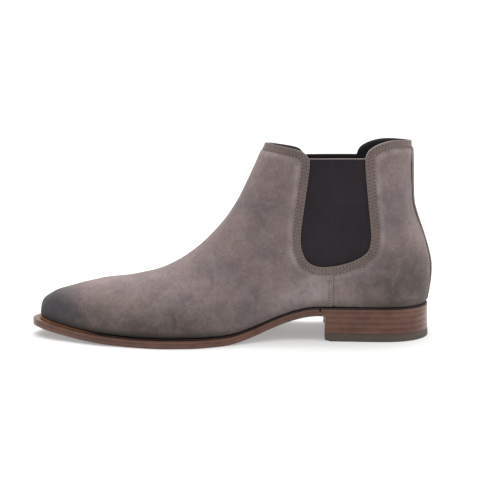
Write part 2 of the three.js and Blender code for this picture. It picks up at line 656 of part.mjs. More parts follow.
// Stacked leather lifts and the rubber top piece with its cut corner.
function addHeel() {
  const level = () => 0;
  const flareAt = (z) => rim((x) => soleMargin(x) + heelFlare * (1 - z / heelTop));
  const plan = planPrism(heelPlan(), -OVERSHOOT, heelTop + OVERSHOOT);
  for (let i = 0; i < liftCount; i++) {
    const low = topPieceThickness + i * liftThickness;
    const high = low + liftThickness - layerGap;
    const lift = plate(flareAt(high), low, high, flareAt(low), level).intersect(plan);
    add(`heel_lift_${i + 1}`, drillPiece(drill(lift)), "soleLeather");
  }
  const slab = plate(flareAt(topPieceThickness), 0, topPieceThickness - layerGap, flareAt(0), level);
  const blank = slab.intersect(plan);
  const edgeY = centreY(breastX) - bodyWidth(breastX, INNER) - soleMargin(breastX) - heelFlare;
  const corner = new THREE.Shape(
    [[-WIDE, -WIDE], [notchLength, -WIDE], [notchLength, 0], [0, notchWidth], [-WIDE, notchWidth]].map(
      ([x, y]) => new THREE.Vector2(x, y),
    ),
  );
  const notch = new THREE.ExtrudeGeometry(corner, { depth: topPieceThickness + 2, bevelEnabled: false });
  const slopes = [-notchLength / topPieceThickness, -notchWidth / topPieceThickness];
  const leaning = new THREE.Matrix4().makeShear(0, 0, 0, 0, ...slopes);
  notch.applyMatrix4(leaning).translate(breastAt(edgeY), edgeY, -0.001);
  add("top_piece", drillPiece(blank.subtract(manifoldOf(notch))), "rubber");
}

function addFasteners() {
  heelNails.forEach(([x, y], i) =>
    add(`heel_nail_${i + 1}`, pin(x, y, nailRadius, nailLow, nailHigh, headRadius, headHeight), "steel"),
  );
  add("heel_screw", pin(screwX, 0, screwRadius, nailLow, nailHigh, screwHeadRadius, headHeight), "steel");
  pieceRivets.forEach(([x, y], i) =>
    add(`top_piece_pin_${i + 1}`, pin(x, y, nailRadius, 0.2, rivetTop, nailRadius, 1), "brass"),
  );
}

addUppers();
addBackStay();
addMiddleLayer();
addLinings();
addInside();
addSole();
addHeel();
addFasteners();

// The origin is on the ground under the middle of the boot's length and width.
const bounds = new THREE.Box3().setFromObject(boot);
const middle = bounds.getCenter(new THREE.Vector3());
boot.position.set(-middle.x, -middle.y, 0);

export default boot;
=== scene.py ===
import math

import bmesh
import bpy
import numpy as np
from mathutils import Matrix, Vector, noise
from mathutils.bvhtree import BVHTree


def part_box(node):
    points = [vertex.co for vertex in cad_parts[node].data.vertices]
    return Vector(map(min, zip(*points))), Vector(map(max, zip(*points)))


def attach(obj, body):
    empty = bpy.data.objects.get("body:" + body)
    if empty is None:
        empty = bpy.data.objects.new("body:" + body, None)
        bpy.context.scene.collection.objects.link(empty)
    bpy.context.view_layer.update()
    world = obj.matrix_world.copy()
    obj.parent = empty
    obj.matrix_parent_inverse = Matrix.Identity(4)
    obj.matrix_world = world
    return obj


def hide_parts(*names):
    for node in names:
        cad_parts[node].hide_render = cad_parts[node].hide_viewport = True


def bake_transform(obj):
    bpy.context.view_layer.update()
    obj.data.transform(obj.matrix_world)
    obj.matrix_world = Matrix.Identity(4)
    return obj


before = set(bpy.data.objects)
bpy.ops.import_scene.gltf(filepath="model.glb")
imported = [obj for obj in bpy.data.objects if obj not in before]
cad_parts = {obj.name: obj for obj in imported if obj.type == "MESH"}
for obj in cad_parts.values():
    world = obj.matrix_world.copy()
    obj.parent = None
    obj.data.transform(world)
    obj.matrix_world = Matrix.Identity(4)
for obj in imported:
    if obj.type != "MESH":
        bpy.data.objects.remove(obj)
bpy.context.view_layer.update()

# ---- Studio -----------------------------------------------------------------------------------
# A pale seamless floor that curves up behind the boot, a broad soft box overhead, weaker ones in
# front and beside the heel, and one on the backdrop. The camera looks down on the boot a little.


def linear(hex_colour):
    """An sRGB hex colour as linear red, green, blue and alpha."""
    parts = [int(hex_colour[i : i + 2], 16) / 255 for i in (1, 3, 5)]
    return [p / 12.92 if p <= 0.04045 else ((p + 0.055) / 1.055) ** 2.4 for p in parts] + [1.0]


def add(tree, kind, inputs, output=0, **settings):
    """Adds one shader node and gives back one of its outputs. Its inputs are numbers, hex colours or
    sockets, and its settings are its own properties."""
    made = tree.nodes.new("ShaderNode" + kind)
    for name, value in settings.items():
        setattr(made, name, value)
    for name, value in inputs.items():
        if isinstance(value, bpy.types.NodeSocket):
            tree.links.new(value, made.inputs[name])
        else:
            made.inputs[name].default_value = linear(value) if isinstance(value, str) else value
    return made.outputs[output]


def new_finish(name, colour, **shader_values):
    """A material with its Principled shader set: underscores in the value names are spaces."""
    material = bpy.data.materials.new(name)
    material.use_nodes = True
    tree = material.node_tree
    shader = tree.nodes["Principled BSDF"]
    shader.inputs["Base Color"].default_value = linear(colour)
    for socket, value in shader_values.items():
        shader.inputs[socket.replace("_", " ")].default_value = value
    return material, tree, shader


camera_data = bpy.data.cameras.new("camera")
camera_data.lens = 72
camera = bpy.data.objects.new("camera", camera_data)
camera.location = (0.0064, -0.750, 0.192)
camera.rotation_euler = (math.radians(81.1), 0, 0)
bpy.context.scene.collection.objects.link(camera)
bpy.context.scene.camera = camera
bpy.context.scene.view_settings.view_transform = "Standard"

sweep_radius = 1.2
floor_front = -4.0
floor_back = 1.6
half_floor = 5.0
sweep_steps = 16
profile = [(floor_front, 0)]
for step in range(sweep_steps + 1):
    turn = math.radians(90 * step / sweep_steps)
    profile.append((floor_back + sweep_radius * math.sin(turn), sweep_radius * (1 - math.cos(turn))))
profile.append((floor_back + sweep_radius, 4.0))
floor_mesh = bpy.data.meshes.new("paper_floor")
floor_mesh.from_pydata(
    [(side * half_floor, y, z) for y, z in profile for side in (-1, 1)],
    [],
    [(2 * i, 2 * i + 1, 2 * i + 3, 2 * i + 2) for i in range(len(profile) - 1)],
)
floor_mesh.polygons.foreach_set("use_smooth", [True] * len(floor_mesh.polygons))
paper_floor = bpy.data.objects.new("paper_floor", floor_mesh)
bpy.context.scene.collection.objects.link(paper_floor)

# Opal background sheet, faintly lit from behind: no gloss, so the floor is even, its shadows pale.
paper, _, paper_shader = new_finish(
    "opal_background_sheet", "#c9cac9", Roughness=0.95, Specular_IOR_Level=0.1, Emission_Strength=0.3,
)
paper_shader.inputs["Emission Color"].default_value = linear("#ffffff")
floor_mesh.materials.append(paper)


def soft_box(name, place, size, power, target=(0, 0, 0.07)):
    """A square area light at that place, facing the boot or another target."""
    light = bpy.data.lights.new(name, "AREA")
    light.size = size
    light.energy = power
    box = bpy.data.objects.new(name, light)
    box.location = place
    box.rotation_euler = (Vector(target) - box.location).to_track_quat("-Z", "Y").to_euler()
    bpy.context.scene.collection.objects.link(box)


soft_box("overhead_box", (-0.1, -0.2, 1.5), 1.5, 16)
soft_box("front_box", (-0.5, -1.7, 0.9), 1.4, 2)
soft_box("heel_side_box", (1.4, -0.35, 0.8), 0.9, 7)
soft_box("backdrop_box", (0, 0.9, 1.9), 2.5, 85, (0, 2.7, 0.3))
world = bpy.data.worlds.new("studio")
world.use_nodes = True
world.node_tree.nodes["Background"].inputs["Color"].default_value = linear("#ffffff")
world.node_tree.nodes["Background"].inputs["Strength"].default_value = 0.3
bpy.context.scene.world = world

# ---- Uppers: vamp and two quarters --------------------------------------------------------------
# Three pieces of 1.5 mm nubuck, skived, sewn together, then wetted and pulled over the last, with a
# margin turned in under the insole. The vamp laps over the quarters under the gore. All sizes here
# are millimetres on the last; `place_on_frame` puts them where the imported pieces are.

# The last, as its length, widths and levels.
last_length = 308
half_ball = 99 / 2
half_heel = 64 / 2
toe_box_height = 36.3
toe_swing = 4
toe_spring = 7.6
shaft_height = 127.5
heel_top = 19.35
feather_level = 7.05
leather_thickness = 1.5
toe_x = -last_length / 2
seat_z = heel_top + feather_level


def along(share):
    return toe_x + share * last_length


def up(share):
    return seat_z + share * shaft_height


def clamp01(t):
    return np.clip(t, 0, 1)


def smooth(t):
    t = clamp01(t)
    return t * t * (3 - 2 * t)


def lerp(a, b, t):
    return a + (b - a) * t


def round_off(t, power=2.0):
    """A quarter of a superellipse: 0 at t = 0 with an upright tangent, 1 from t = 1 on."""
    return (1 - (1 - clamp01(t)) ** power) ** (1 / power)


def spline(rows, count):
    """A uniform Catmull-Rom curve through the rows."""
    rows = np.array(rows, float)
    place = np.linspace(0, len(rows) - 1, count + 1)
    first = np.minimum(place.astype(int), len(rows) - 2)
    w = (place - first)[:, None]
    a, b, c, d = (rows[np.clip(first + k, 0, len(rows) - 1)] for k in (-1, 0, 1, 2))
    start = (c - a) / 2
    stop = (d - b) / 2
    cubic = 2 * b - 2 * c + start + stop
    square = 3 * c - 3 * b - 2 * start - stop
    return cubic * w**3 + square * w**2 + start * w + b


def curve_through(rows):
    samples = spline(rows, 240)
    return lambda x: np.interp(x, samples[:, 0], samples[:, 1])


def sole_z(x):
    """The sole's underside: toe spring, flat tread, then the waist's rise to the heel seat."""
    spring = toe_spring * clamp01((along(0.29) - x) / (along(0.29) - toe_x)) ** 2.1
    return spring + heel_top * smooth((x - along(0.467)) / (along(0.714) - along(0.467)))


def feather_z(x):
    return sole_z(x) + feather_level


# The front line of the upper: shares of the length, against heights over toe, vamp and instep.
toe_rows = [(0, 0), (0.0005, 0.13), (0.008, 0.35), (0.028, 0.49), (0.06, 0.61)]
vamp_rows = [(0.153, 1), (0.256, 1.125), (0.33, 1.3)]
instep_rows = [(0.4, 0.322), (0.462, 0.47), (0.513, 0.645), (0.563, 0.9), (0.59, 1.04)]
front_line = spline(
    [(along(x), feather_z(toe_x) + z * toe_box_height) for x, z in toe_rows]
    + [(along(x), feather_level + z * toe_box_height) for x, z in vamp_rows]
    + [(along(x), up(z)) for x, z in instep_rows],
    300,
)
# The back line: how far it stands behind the heel end of the last, by share of the shaft's height.
back_lean = curve_through([
    (0, -1.2), (0.08, 0.3), (0.16, 1.4), (0.24, 1.3), (0.31, -0.5), (0.39, -3.5),
    (0.465, -6.8), (0.54, -10.2), (0.62, -13.1), (0.73, -14.1), (0.9, -14.8), (1.06, -16.2),
])


def back_x(z):
    return last_length / 2 + back_lean((z - seat_z) / shaft_height)


def widths(ball_rows, heel_rows):
    ball = [(along(share), width * half_ball) for share, width in ball_rows]
    heel = [(along(share), width * half_heel) for share, width in heel_rows]
    return curve_through(ball + heel)


INNER = -1  # towards -Y
OUTER = 1
side_width = {
    INNER: widths(
        [(0, 0.47), (0.06, 0.55), (0.134, 0.68), (0.19, 0.79), (0.3, 0.97), (0.36, 1), (0.42, 0.97),
         (0.51, 0.79)],
        [(0.6, 0.95), (0.68, 0.91), (0.78, 0.955), (0.86, 1), (1, 1)],
    ),
    OUTER: widths(
        [(0, 0.49), (0.06, 0.6), (0.134, 0.73), (0.19, 0.83), (0.3, 0.98), (0.37, 1.01), (0.45, 0.99),
         (0.52, 0.93)],
        [(0.6, 1.23), (0.68, 1.1), (0.78, 1.02), (0.86, 1), (1, 1)],
    ),
}
heel_round = 36
collar_round = 52
toe_round = 58
wall_bulge = 1.4  # the wall swells out just above the feather line
bulge_height = 13
shaft_foot = 35  # half widths of the shaft at its foot and its top
shaft_top = 30
shaft_start = 12  # height where the foot's width starts to turn into the shaft's
shaft_blend = 63
wall_power = 2.1  # a little fuller than a circle


def toe_rounding(x):
    return round_off((x - toe_x) / toe_round)


def centre_y(x):
    return -toe_swing * smooth((along(0.75) - x) / (along(0.75) - toe_x))


def half_width(x, z, side, from_front, front_round):
    """Half the upper's width at a point of the side view that lies from_front behind its front line."""
    height = z - feather_z(x)
    foot = (side_width[side](x) + wall_bulge * clamp01(height / bulge_height) ** 0.7) * toe_rounding(x)
    shaft = lerp(shaft_foot, shaft_top, clamp01((z - seat_z) / shaft_height))
    body = lerp(foot, shaft, smooth((height - shaft_start) / shaft_blend))
    back_round = lerp(heel_round, collar_round, smooth((z - seat_z) / shaft_height))
    rounding = round_off(from_front / front_round, wall_power)
    return body * rounding * round_off((back_x(z) - x) / back_round, wall_power)


# Sections stand upright from the toe to the pivot, then fan out about it until they lie level.
pivot = np.array([along(0.287), up(1.04)])
stations = 280
back_sections = 72
half_points = 84
ridge_share = 0.88  # share of a section over which its ridge rounds off, in the forepart
full_turn = 0.7  # share of a quarter turn by which a section has the collar's rounding
even_turn = 0.6  # and by which its points gather at both ends alike
feather_end = back_x(seat_z)
station_share = np.arange(stations + 1) / stations
station_share = lerp(station_share, (1 - np.cos(math.pi * station_share)) / 2, 0.93)
station_x = lerp(toe_x, feather_end, station_share)


def front_crossing(origin, base):
    """Where the line from origin to base crosses the front line of the upper."""
    away = front_line - origin
    across = (base[0] - origin[0]) * away[:, 1] - (base[1] - origin[1]) * away[:, 0]
    crossings = np.nonzero((across[1:] >= 0) != (across[:-1] >= 0))[0]
    if len(crossings) == 0:  # it only touches an end: the toe tip or the top of the shaft
        return front_line[0 if base[0] < pivot[0] else -1]
    k = crossings[-1]
    return lerp(front_line[k + 1], front_line[k], across[k + 1] / (across[k + 1] - across[k]))


def last_section(base, on_back_line):
    """Points from the inner base, over the front line, to the outer base."""
    origin = np.array([min(base[0], pivot[0]), pivot[1]])
    front = front_crossing(origin, base)
    length = np.hypot(*(base - front))
    turn = 1 - math.atan2(origin[1] - base[1], base[0] - origin[0]) / (math.pi / 2)
    front_round = max(lerp(ridge_share * length, collar_round, smooth(turn / full_turn)), 1e-6)
    t = np.linspace(0, 1, half_points + 1)
    share = lerp(1 - np.cos(math.pi / 2 * t), (1 - np.cos(math.pi * t)) / 2, smooth(turn / even_turn))
    x, z = (front + (base - front) * share[:, None]).T
    halves = {}
    for side in (INNER, OUTER):
        width = half_width(x, z, side, share * length, front_round)
        if on_back_line:
            width[-1] = 0
        halves[side] = np.stack([x, centre_y(x) + side * width, z], 1)
    return np.vstack([halves[INNER][::-1], halves[OUTER][1:]])


bases = [(x, feather_z(x)) for x in station_x]
bases += [(back_x(z), z) for z in np.linspace(seat_z, pivot[1], back_sections + 1)[1:]]
last_surface = np.array([last_section(np.array(b), i >= stations) for i, b in enumerate(bases)])


def normals_of(grid):
    normals = np.cross(np.gradient(grid, axis=0), np.gradient(grid, axis=1))
    normals *= np.sign(normals[stations // 2, half_points, 2])
    normals[stations:, [0, -1]] = (normals[stations:, 0] + normals[stations:, -1])[:, None]
    normals[0] = (-1, 0, 0)
    return normals / np.linalg.norm(normals, axis=2, keepdims=True)


last_normals = normals_of(last_surface)

# The topline in the side view, as shares: front tab, down and round the gore, back tab.
gore_front_share = 0.684  # the front tab's rear edge, where the gore starts
front_tab = [(0.3, 0.99), (0.54, 0.988), (0.576, 0.984), (0.612, 0.969), (0.655, 0.948), (0.672, 0.93),
             (gore_front_share, 0.89)]
gore_front = [(0.685, 0.84), (0.679, 0.718), (0.668, 0.52), (0.665, 0.42), (0.669, 0.345),
              (0.684, 0.278)]
gore_back = [(0.712, 0.248), (0.758, 0.257), (0.802, 0.292), (0.831, 0.345), (0.8385, 0.42),
             (0.837, 0.5), (0.829, 0.69), (0.823, 0.85)]
back_tab = [(0.8245, 0.91), (0.835, 0.95), (0.86, 0.982), (0.895, 1), (0.95, 0.998), (1.02, 0.992)]
topline = spline([(along(x), up(z)) for x, z in front_tab + gore_front + gore_back + back_tab], 420)
gore_top = up(1) - 13
seam_x = along(0.747)


def distance_inside(line, x, z):
    """Distance in the side view from a line, positive on its right as it is walked."""
    start = line[:-1]
    step = np.diff(line, axis=0)
    square = (step**2).sum(1)
    found = []
    points = np.stack([np.ravel(x), np.ravel(z)], 1)
    for block in np.array_split(points, max(1, len(points) // 4000)):
        away = block[:, None] - start
        share = clamp01((away * step).sum(2) / square)
        gap = np.linalg.norm(away - share[..., None] * step, axis=2)
        nearest = gap.argmin(1)
        row = np.arange(len(block))
        across = step[nearest, 0] * away[row, nearest, 1] - step[nearest, 1] * away[row, nearest, 0]
        found.append(-np.sign(across) * gap[row, nearest])
    return np.concatenate(found).reshape(np.shape(x))


def cut_sheet(grid, fields, keep, cuts):
    """A grid of points as a sheet with extra edges where each field has each of its levels.
    Returns its points, normals, field values and faces."""
    rows, columns = grid.shape[:2]
    sheet = bmesh.new()
    layers = {name: sheet.verts.layers.float.new(name) for name in fields}
    flat = {name: values.ravel() for name, values in fields.items()}
    verts = [sheet.verts.new(p) for p in grid.reshape(-1, 3)]
    for name, layer in layers.items():
        for vert, value in zip(verts, flat[name].tolist()):
            vert[layer] = value
    for i in range(rows - 1):
        for k in range(columns - 1):
            if keep[i, k]:
                a = i * columns + k
                sheet.faces.new((verts[a], verts[a + columns], verts[a + columns + 1], verts[a + 1]))
    for vert in [v for v in sheet.verts if not v.link_faces]:
        sheet.verts.remove(vert)
    bmesh.ops.dissolve_degenerate(sheet, dist=0.002, edges=sheet.edges)
    for name, levels in cuts.items():
        for level in levels:
            split_at(sheet, layers[name], level)
    sheet.normal_update()
    sheet.verts.index_update()
    points = np.array([v.co[:] for v in sheet.verts])
    normals = np.array([v.normal[:] for v in sheet.verts])
    values = {name: np.array([v[layer] for v in sheet.verts]) for name, layer in layers.items()}
    faces = [[v.index for v in face.verts] for face in sheet.faces]
    sheet.free()
    return points, normals, values, faces


def split_at(sheet, layer, level, snap=0.07):
    """Cuts one level of a field into the sheet. A point nearer than snap is taken onto the level."""
    on_level = {}
    for vert in sheet.verts:
        if abs(vert[layer] - level) < snap:
            vert[layer] = level
            on_level[vert] = True
    for edge in list(sheet.edges):
        a, b = edge.verts
        above, below = a[layer] - level, b[layer] - level
        if above * below < 0:
            new_vert = bmesh.utils.edge_split(edge, a, above / (above - below))[1]
            new_vert[layer] = level
            on_level[new_vert] = True
    for face in dict.fromkeys(face for vert in on_level for face in vert.link_faces):
        ends = [vert for vert in face.verts if vert in on_level]
        if len(ends) == 2 and sheet.edges.get(ends) is None:
            bmesh.utils.face_split(face, *ends)


def pick(faces, wanted, *arrays):
    """The faces that are wanted, renumbered, and the rows of each array that they use."""
    chosen = [face for face, keep in zip(faces, wanted) if keep]
    used = np.unique(np.concatenate(chosen))
    place = {int(old): new for new, old in enumerate(used)}
    picked = [{n: v[used] for n, v in a.items()} if isinstance(a, dict) else a[used] for a in arrays]
    return [[place[v] for v in face] for face in chosen], *picked


def face_mean(faces, values):
    return np.array([np.mean(values[face], axis=0) for face in faces])


def of_corners(field, extreme):
    """The highest or the lowest of the four corner values of each face of a grid."""
    return extreme.reduce([field[:-1, :-1], field[1:, :-1], field[:-1, 1:], field[1:, 1:]])


def joined(parts):
    """The points and faces of several meshes as those of one."""
    all_points, all_faces, start = [], [], 0
    for points, faces in parts:
        all_points.append(points)
        all_faces += [[v + start for v in face] for face in faces]
        start += len(points)
    return np.vstack(all_points), all_faces


def thicken(outer, inner, faces):
    """A closed solid from a sheet's outer and inner points: its faces, twice, and a rim."""
    count = len(outer)
    rim_faces = []
    walked = {(a, b) for face in faces for a, b in zip(face, face[1:] + face[:1])}
    for a, b in sorted(walked):
        if (b, a) not in walked:
            rim_faces.append([b, a, a + count, b + count])
    back = [[v + count for v in reversed(face)] for face in faces]
    return np.vstack([outer, inner]), faces + back + rim_faces


screw_low, screw_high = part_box("heel_screw")
frame_shift = np.array([
    (screw_low.x + screw_high.x) * 500 - along(0.85),
    (screw_low.y + screw_high.y) * 500,
    0,
])


def place_on_frame(points):
    """Millimetres on the last, where the heel screw is 85% along, as metres in the frame."""
    return (np.asarray(points) + frame_shift) * 0.001


def make_piece(name, points, faces, material, slot, stands_for, body="root", values=None, crease=38):
    """A mesh piece from millimetre points. It keeps its place on the last for its patterns."""
    mesh = bpy.data.meshes.new(name)
    mesh.from_pydata(place_on_frame(points).tolist(), [], [list(map(int, face)) for face in faces])
    tidy = bmesh.new()
    tidy.from_mesh(mesh)
    bmesh.ops.recalc_face_normals(tidy, faces=tidy.faces)
    tidy.to_mesh(mesh)
    tidy.free()
    mesh.polygons.foreach_set("use_smooth", [True] * len(mesh.polygons))
    mesh.set_sharp_from_angle(angle=math.radians(crease))
    mesh.attributes.new("place", "FLOAT_VECTOR", "POINT").data.foreach_set(
        "vector", np.asarray(points, np.float32).ravel()
    )
    for field, amounts in (values or {}).items():
        mesh.attributes.new(field, "FLOAT", "POINT").data.foreach_set(
            "value", np.asarray(amounts, np.float32)
        )
    mesh.materials.append(material)
    piece = bpy.data.objects.new(name, mesh)
    bpy.context.scene.collection.objects.link(piece)
    if stands_for:
        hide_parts(*stands_for)
    if body:
        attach(piece, body)
    return piece


# Nubuck calf: the grain side is buffed to a short nap, then waxed by hand at the toe. It gives a soft,
# dull, cloudy surface with no mirror highlight and a pale bare edge. Its colour is also darker low round
# the heel. It carries painted shade along the feather line, and painted shade with burnish on the lower
# forepart wall. It carries painted highlights, with some buffing, outside the outer stitch row and at
# the waist.
nubuck, tree, shader = new_finish(
    "buffed_nubuck_calf", "#7d7071",
    Roughness=0.92, Specular_IOR_Level=0.25, Sheen_Weight=0.25, Sheen_Roughness=0.55,
)
shader.inputs["Sheen Tint"].default_value = linear("#d6cbc9")
place = add(tree, "Attribute", {}, "Vector", attribute_name="place")


def patches(tree, place, size, low, high, detail=3.0, roughness=0.55, distortion=0.0):
    """Soft patches about `size` millimetres across: 0 where their noise is under low, 1 over high."""
    noise_value = add(tree, "TexNoise", {
        "Vector": place, "Scale": 1 / size, "Detail": detail, "Roughness": roughness,
        "Distortion": distortion,
    })
    return add(tree, "MapRange", {"Value": noise_value, "From Min": low, "From Max": high})


def stained(tree, colour, share, strength, stain):
    """A colour with a stain laid over it by a share at a strength."""
    amount = add(tree, "Math", {0: share, 1: strength}, operation="MULTIPLY")
    return add(tree, "MixRGB", {"Fac": amount, "Color1": colour, "Color2": stain})


broad = patches(tree, place, 30, 0.38, 0.62, 2, 0.5, 0.4)
patch = patches(tree, place, 12, 0.4, 0.66, 5, 0.65, 0.6)
fleck = patches(tree, place, 2.2, 0.36, 0.66, 4, 0.75)
colour = stained(tree, "#83726f", broad, 1, "#6f6364")
colour = stained(tree, colour, patch, 0.5, "#968786")
colour = stained(tree, colour, fleck, 0.42, "#534849")
hand_finish = [  # where, how strongly between the patches and on them, and in what tone
    # paler ring on the swelling outside the outer stitch row, part buffing and part painted highlight,
    # and a painted highlight patch on the lower waist
    ("paler", 0.4, 1, "#a89c9b"),
    # darker lower forepart wall: part burnish, part painted shade of the wall as it turns under
    ("low_wall", 0.8, 0.5, "#433b34"),
    ("band", 0.5, 0.5, "#63544f"),
    ("heel_dark", 0.9, 0.55, "#4b443d"),
    ("burnish", 1, 0.8, "#38393e"),
    # painted shade in the crease along the feather line, where the upper meets the welt
    ("painted_feather_shade", 0.95, 0.95, "#2b2925"),
    ("bare_edge", 0.5, 0.5, "#978983"),
]
for where, between, on_patch, tone in hand_finish:
    share = add(tree, "Attribute", {}, "Fac", attribute_name=where)
    strength = add(tree, "MapRange", {"Value": patch, "To Min": between, "To Max": on_patch})
    colour = stained(tree, colour, share, strength, tone)
tree.links.new(colour, shader.inputs["Base Color"])
creases = add(tree, "TexNoise", {
    "Vector": place, "Scale": 1 / 2.6, "Detail": 3, "Roughness": 0.6, "Distortion": 0.5,
})
nap_size = 0.45  # the real nap is 0.1 mm: drawn coarser so that it shows
nap = add(tree, "TexNoise", {"Vector": place, "Scale": 1 / nap_size, "Detail": 2, "Roughness": 0.6})
bump = add(tree, "Bump", {"Height": creases, "Strength": 0.12, "Distance": 0.0006})
bump = add(tree, "Bump", {"Height": nap, "Strength": 0.3, "Distance": 0.00025, "Normal": bump})
tree.links.new(bump, shader.inputs["Normal"])

# The last grid, with the lasting margin as extra columns at both ends of each section.
margin_width = 16
margin_columns = 4
margin_x = lerp(toe_x + margin_width, feather_end - margin_width, station_share)
end_rounding = toe_rounding(station_x) * round_off((feather_end - station_x) / heel_round, wall_power)


def margin_points(side, wall_column):
    """Rows of points from the feather line in to the edge of the turned-in margin."""
    base = last_surface[:, wall_column]
    inward = base.copy()
    width = (side_width[side](margin_x) - margin_width) * end_rounding
    inward[: stations + 1, 0] = margin_x
    inward[: stations + 1, 1] = centre_y(station_x) + side * width
    inward[: stations + 1, 2] = feather_z(inward[: stations + 1, 0])
    shares = np.linspace(0, 1, margin_columns + 1)[1:]
    return lerp(base[:, None], inward[:, None], shares[None, :, None]), shares * -margin_width


inner_margin, inner_heights = margin_points(INNER, 0)
outer_margin, outer_heights = margin_points(OUTER, -1)
upper_grid = np.concatenate([inner_margin[:, ::-1], last_surface, outer_margin], 1)
wall_height = last_surface[..., 2] - feather_z(last_surface[..., 0])
rows = len(last_surface)
upper_fields = {
    "height": np.concatenate([
        np.tile(inner_heights[::-1], (rows, 1)), wall_height, np.tile(outer_heights, (rows, 1)),
    ], 1),
    "edge": distance_inside(topline, upper_grid[..., 0], upper_grid[..., 2]),
    "seam": upper_grid[..., 0] - seam_x,
    "across": upper_grid[..., 1] - centre_y(upper_grid[..., 0]),
}
keep = np.ones((rows - 1, upper_grid.shape[1] - 1), bool)
keep[stations:, :margin_columns] = False
keep[stations:, -margin_columns:] = False
keep &= of_corners(upper_fields["edge"], np.maximum) > 0

row_1 = 1.35  # first row of stitches, in from the topline
row_2 = 5.6
edge_cuts = [0, 0.15, 0.4, 0.85, 1.1, row_1, 1.6, 2.2, 4.7, 5.2, row_2, 6.0, 6.6, 7.6, 9]
seam_cuts = [-3.7, -3.2, -2.7, -1.9, -1.5, -1.1, -0.5, -0.15, 0, 0.3, 1.2, 3]
points, normals, values, faces = cut_sheet(
    upper_grid, upper_fields, keep, {"edge": edge_cuts, "seam": seam_cuts, "height": [0.6, 1.6]}
)
if (normals * (points - points.mean(0))).sum() < 0:
    normals = -normals


def ripple(points, size, amount):
    """A soft unevenness of the pulled leather, in patches of that size."""
    return np.array([noise.noise(Vector(p) / size) for p in points]) * amount


band_profile = [
    (0, -0.6), (0.15, -0.3), (0.4, -0.08), (0.85, -0.05), (row_1, -0.3), (2.2, -0.12), (4.7, -0.12),
    (row_2, -0.5), (6.6, 0.05), (7.6, 0.3), (9, 0.42), (13, 0.22), (19, 0),
]
lap_profile = [
    (-3.7, 0.1), (-3.2, -0.2), (-2.7, 0.1), (-1.9, 0.1), (-1.5, -0.2), (-1.1, 0.12), (-0.5, 0.1),
    (-0.15, -0.1), (0, -0.45),
]
under_profile = [(0, -1.1), (0.3, -1.0), (1.2, -0.55), (3, -0.15), (6, 0)]


def profile_at(profile, amount):
    return np.interp(amount, [a for a, _ in profile], [b for _, b in profile])


def leather_relief(points, values, lapped):
    """How far the leather's face stands out: pressed bands, seams, rolled feather edge, ripples."""
    edge, seam = values["edge"], values["seam"]
    relief = profile_at(band_profile, edge)
    below_band = smooth((edge - 5.9) / 0.8)
    relief = relief + below_band * profile_at(under_profile if lapped else lap_profile, seam)
    relief = relief + np.interp(np.abs(values["height"]), [0, 0.6, 1.6, 2.6], [-0.8, -0.35, -0.1, 0])
    loose = smooth((edge - 9) / 12) * smooth(values["height"] / 8)
    return relief + loose * (ripple(points, 26, 0.5) + ripple(points + 50, 11, 0.18))


upper_centre = face_mean(faces, np.column_stack([values["edge"], values["seam"], values["across"]]))
on_boot = upper_centre[:, 0] > 0
upper_parts = {
    "vamp": on_boot & (upper_centre[:, 1] < 0),
    "quarter_medial": on_boot & (upper_centre[:, 1] > 0) & (upper_centre[:, 2] < 0),
    "quarter_lateral": on_boot & (upper_centre[:, 1] > 0) & (upper_centre[:, 2] > 0),
}


def upper_tones(points, values):
    """Where the leather is pressed, waxed dark, darker low round the heel or left bare at its edge, and
    where shade and highlights are painted on, from 0 to 1.
    """
    x, height, edge = points[:, 0], values["height"], values["edge"]
    from_toe = np.hypot((x - toe_x) / 42, (height - 10) / 36)
    fore = 1 - smooth((x - along(0.36)) / 75)
    from_heel = np.hypot((x - along(0.99)) / 72, (height - 4) / 52)
    return {
        "band": 1 - smooth((edge - 5.7) / 0.9),
        "burnish": 1 - smooth((from_toe - 0.3) / 0.95),
        # painted shade along the feather line, stronger in the forepart
        "painted_feather_shade": (1 - smooth((height - 0.5) / 6.5)) * lerp(0.3, 0.9, fore),
        # darker lower forepart wall: part burnish, part painted shade as the wall turns under
        "low_wall": (1 - smooth((height - 3) / 36)) * lerp(0.0, 1, fore),
        "heel_dark": 1 - smooth((from_heel - 0.25) / 0.85),
        "bare_edge": 1 - smooth(edge / 0.5),
        # paler ring outside the outer stitch row, part buffing and part painted highlight, and a painted
        # highlight patch on the lower waist in front of the seam
        "paler": np.maximum(
            0.45 * np.exp(-(((edge - 8.6) / 2.0) ** 2)),
            0.85 * np.exp(-(((x - along(0.69)) / 22) ** 2) - ((height - 14) / 13) ** 2),
        ),
    }


def bend_with_shaft(piece):
    """Bakes the piece's world transform into its mesh; the front of the shaft is not bent."""
    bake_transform(piece)


leather_parts = []
for part, wanted in upper_parts.items():
    part_faces, part_points, part_normals, part_values = pick(faces, wanted, points, normals, values)
    relief = leather_relief(part_points, part_values, part != "vamp")
    outer = part_points + part_normals * relief[:, None]
    # Above the gores the edge is folded over its tape, so it is thicker there.
    folded = (1 - smooth(part_values["edge"] / 1.8)) * smooth((part_points[:, 2] - gore_top) / 3)
    depth = leather_thickness + 0.9 * folded
    inner = part_points - part_normals * depth[:, None]
    leather_parts.append((outer, part_faces))
    solid, solid_faces = thicken(outer, inner, part_faces)
    tones = {name: np.tile(t, 2) for name, t in upper_tones(part_points, part_values).items()}
    piece = make_piece(part + "_leather", solid, solid_faces, nubuck, "upper_suede", [part],
                       None if part == "vamp" else "root", tones)
    if part == "vamp":
        bend_with_shaft(piece)

leather_points, leather_faces = joined(leather_parts)
leather_tree = BVHTree.FromPolygons(leather_points.tolist(), leather_faces)

# ---- Stitching of the uppers --------------------------------------------------------------------
# Two rows of taupe polyester thread run along the topline and round each gore, and two more hold
# the vamp's lap over each quarter. Each stitch lies in its own pair of needle holes.
thread_radius = 0.26

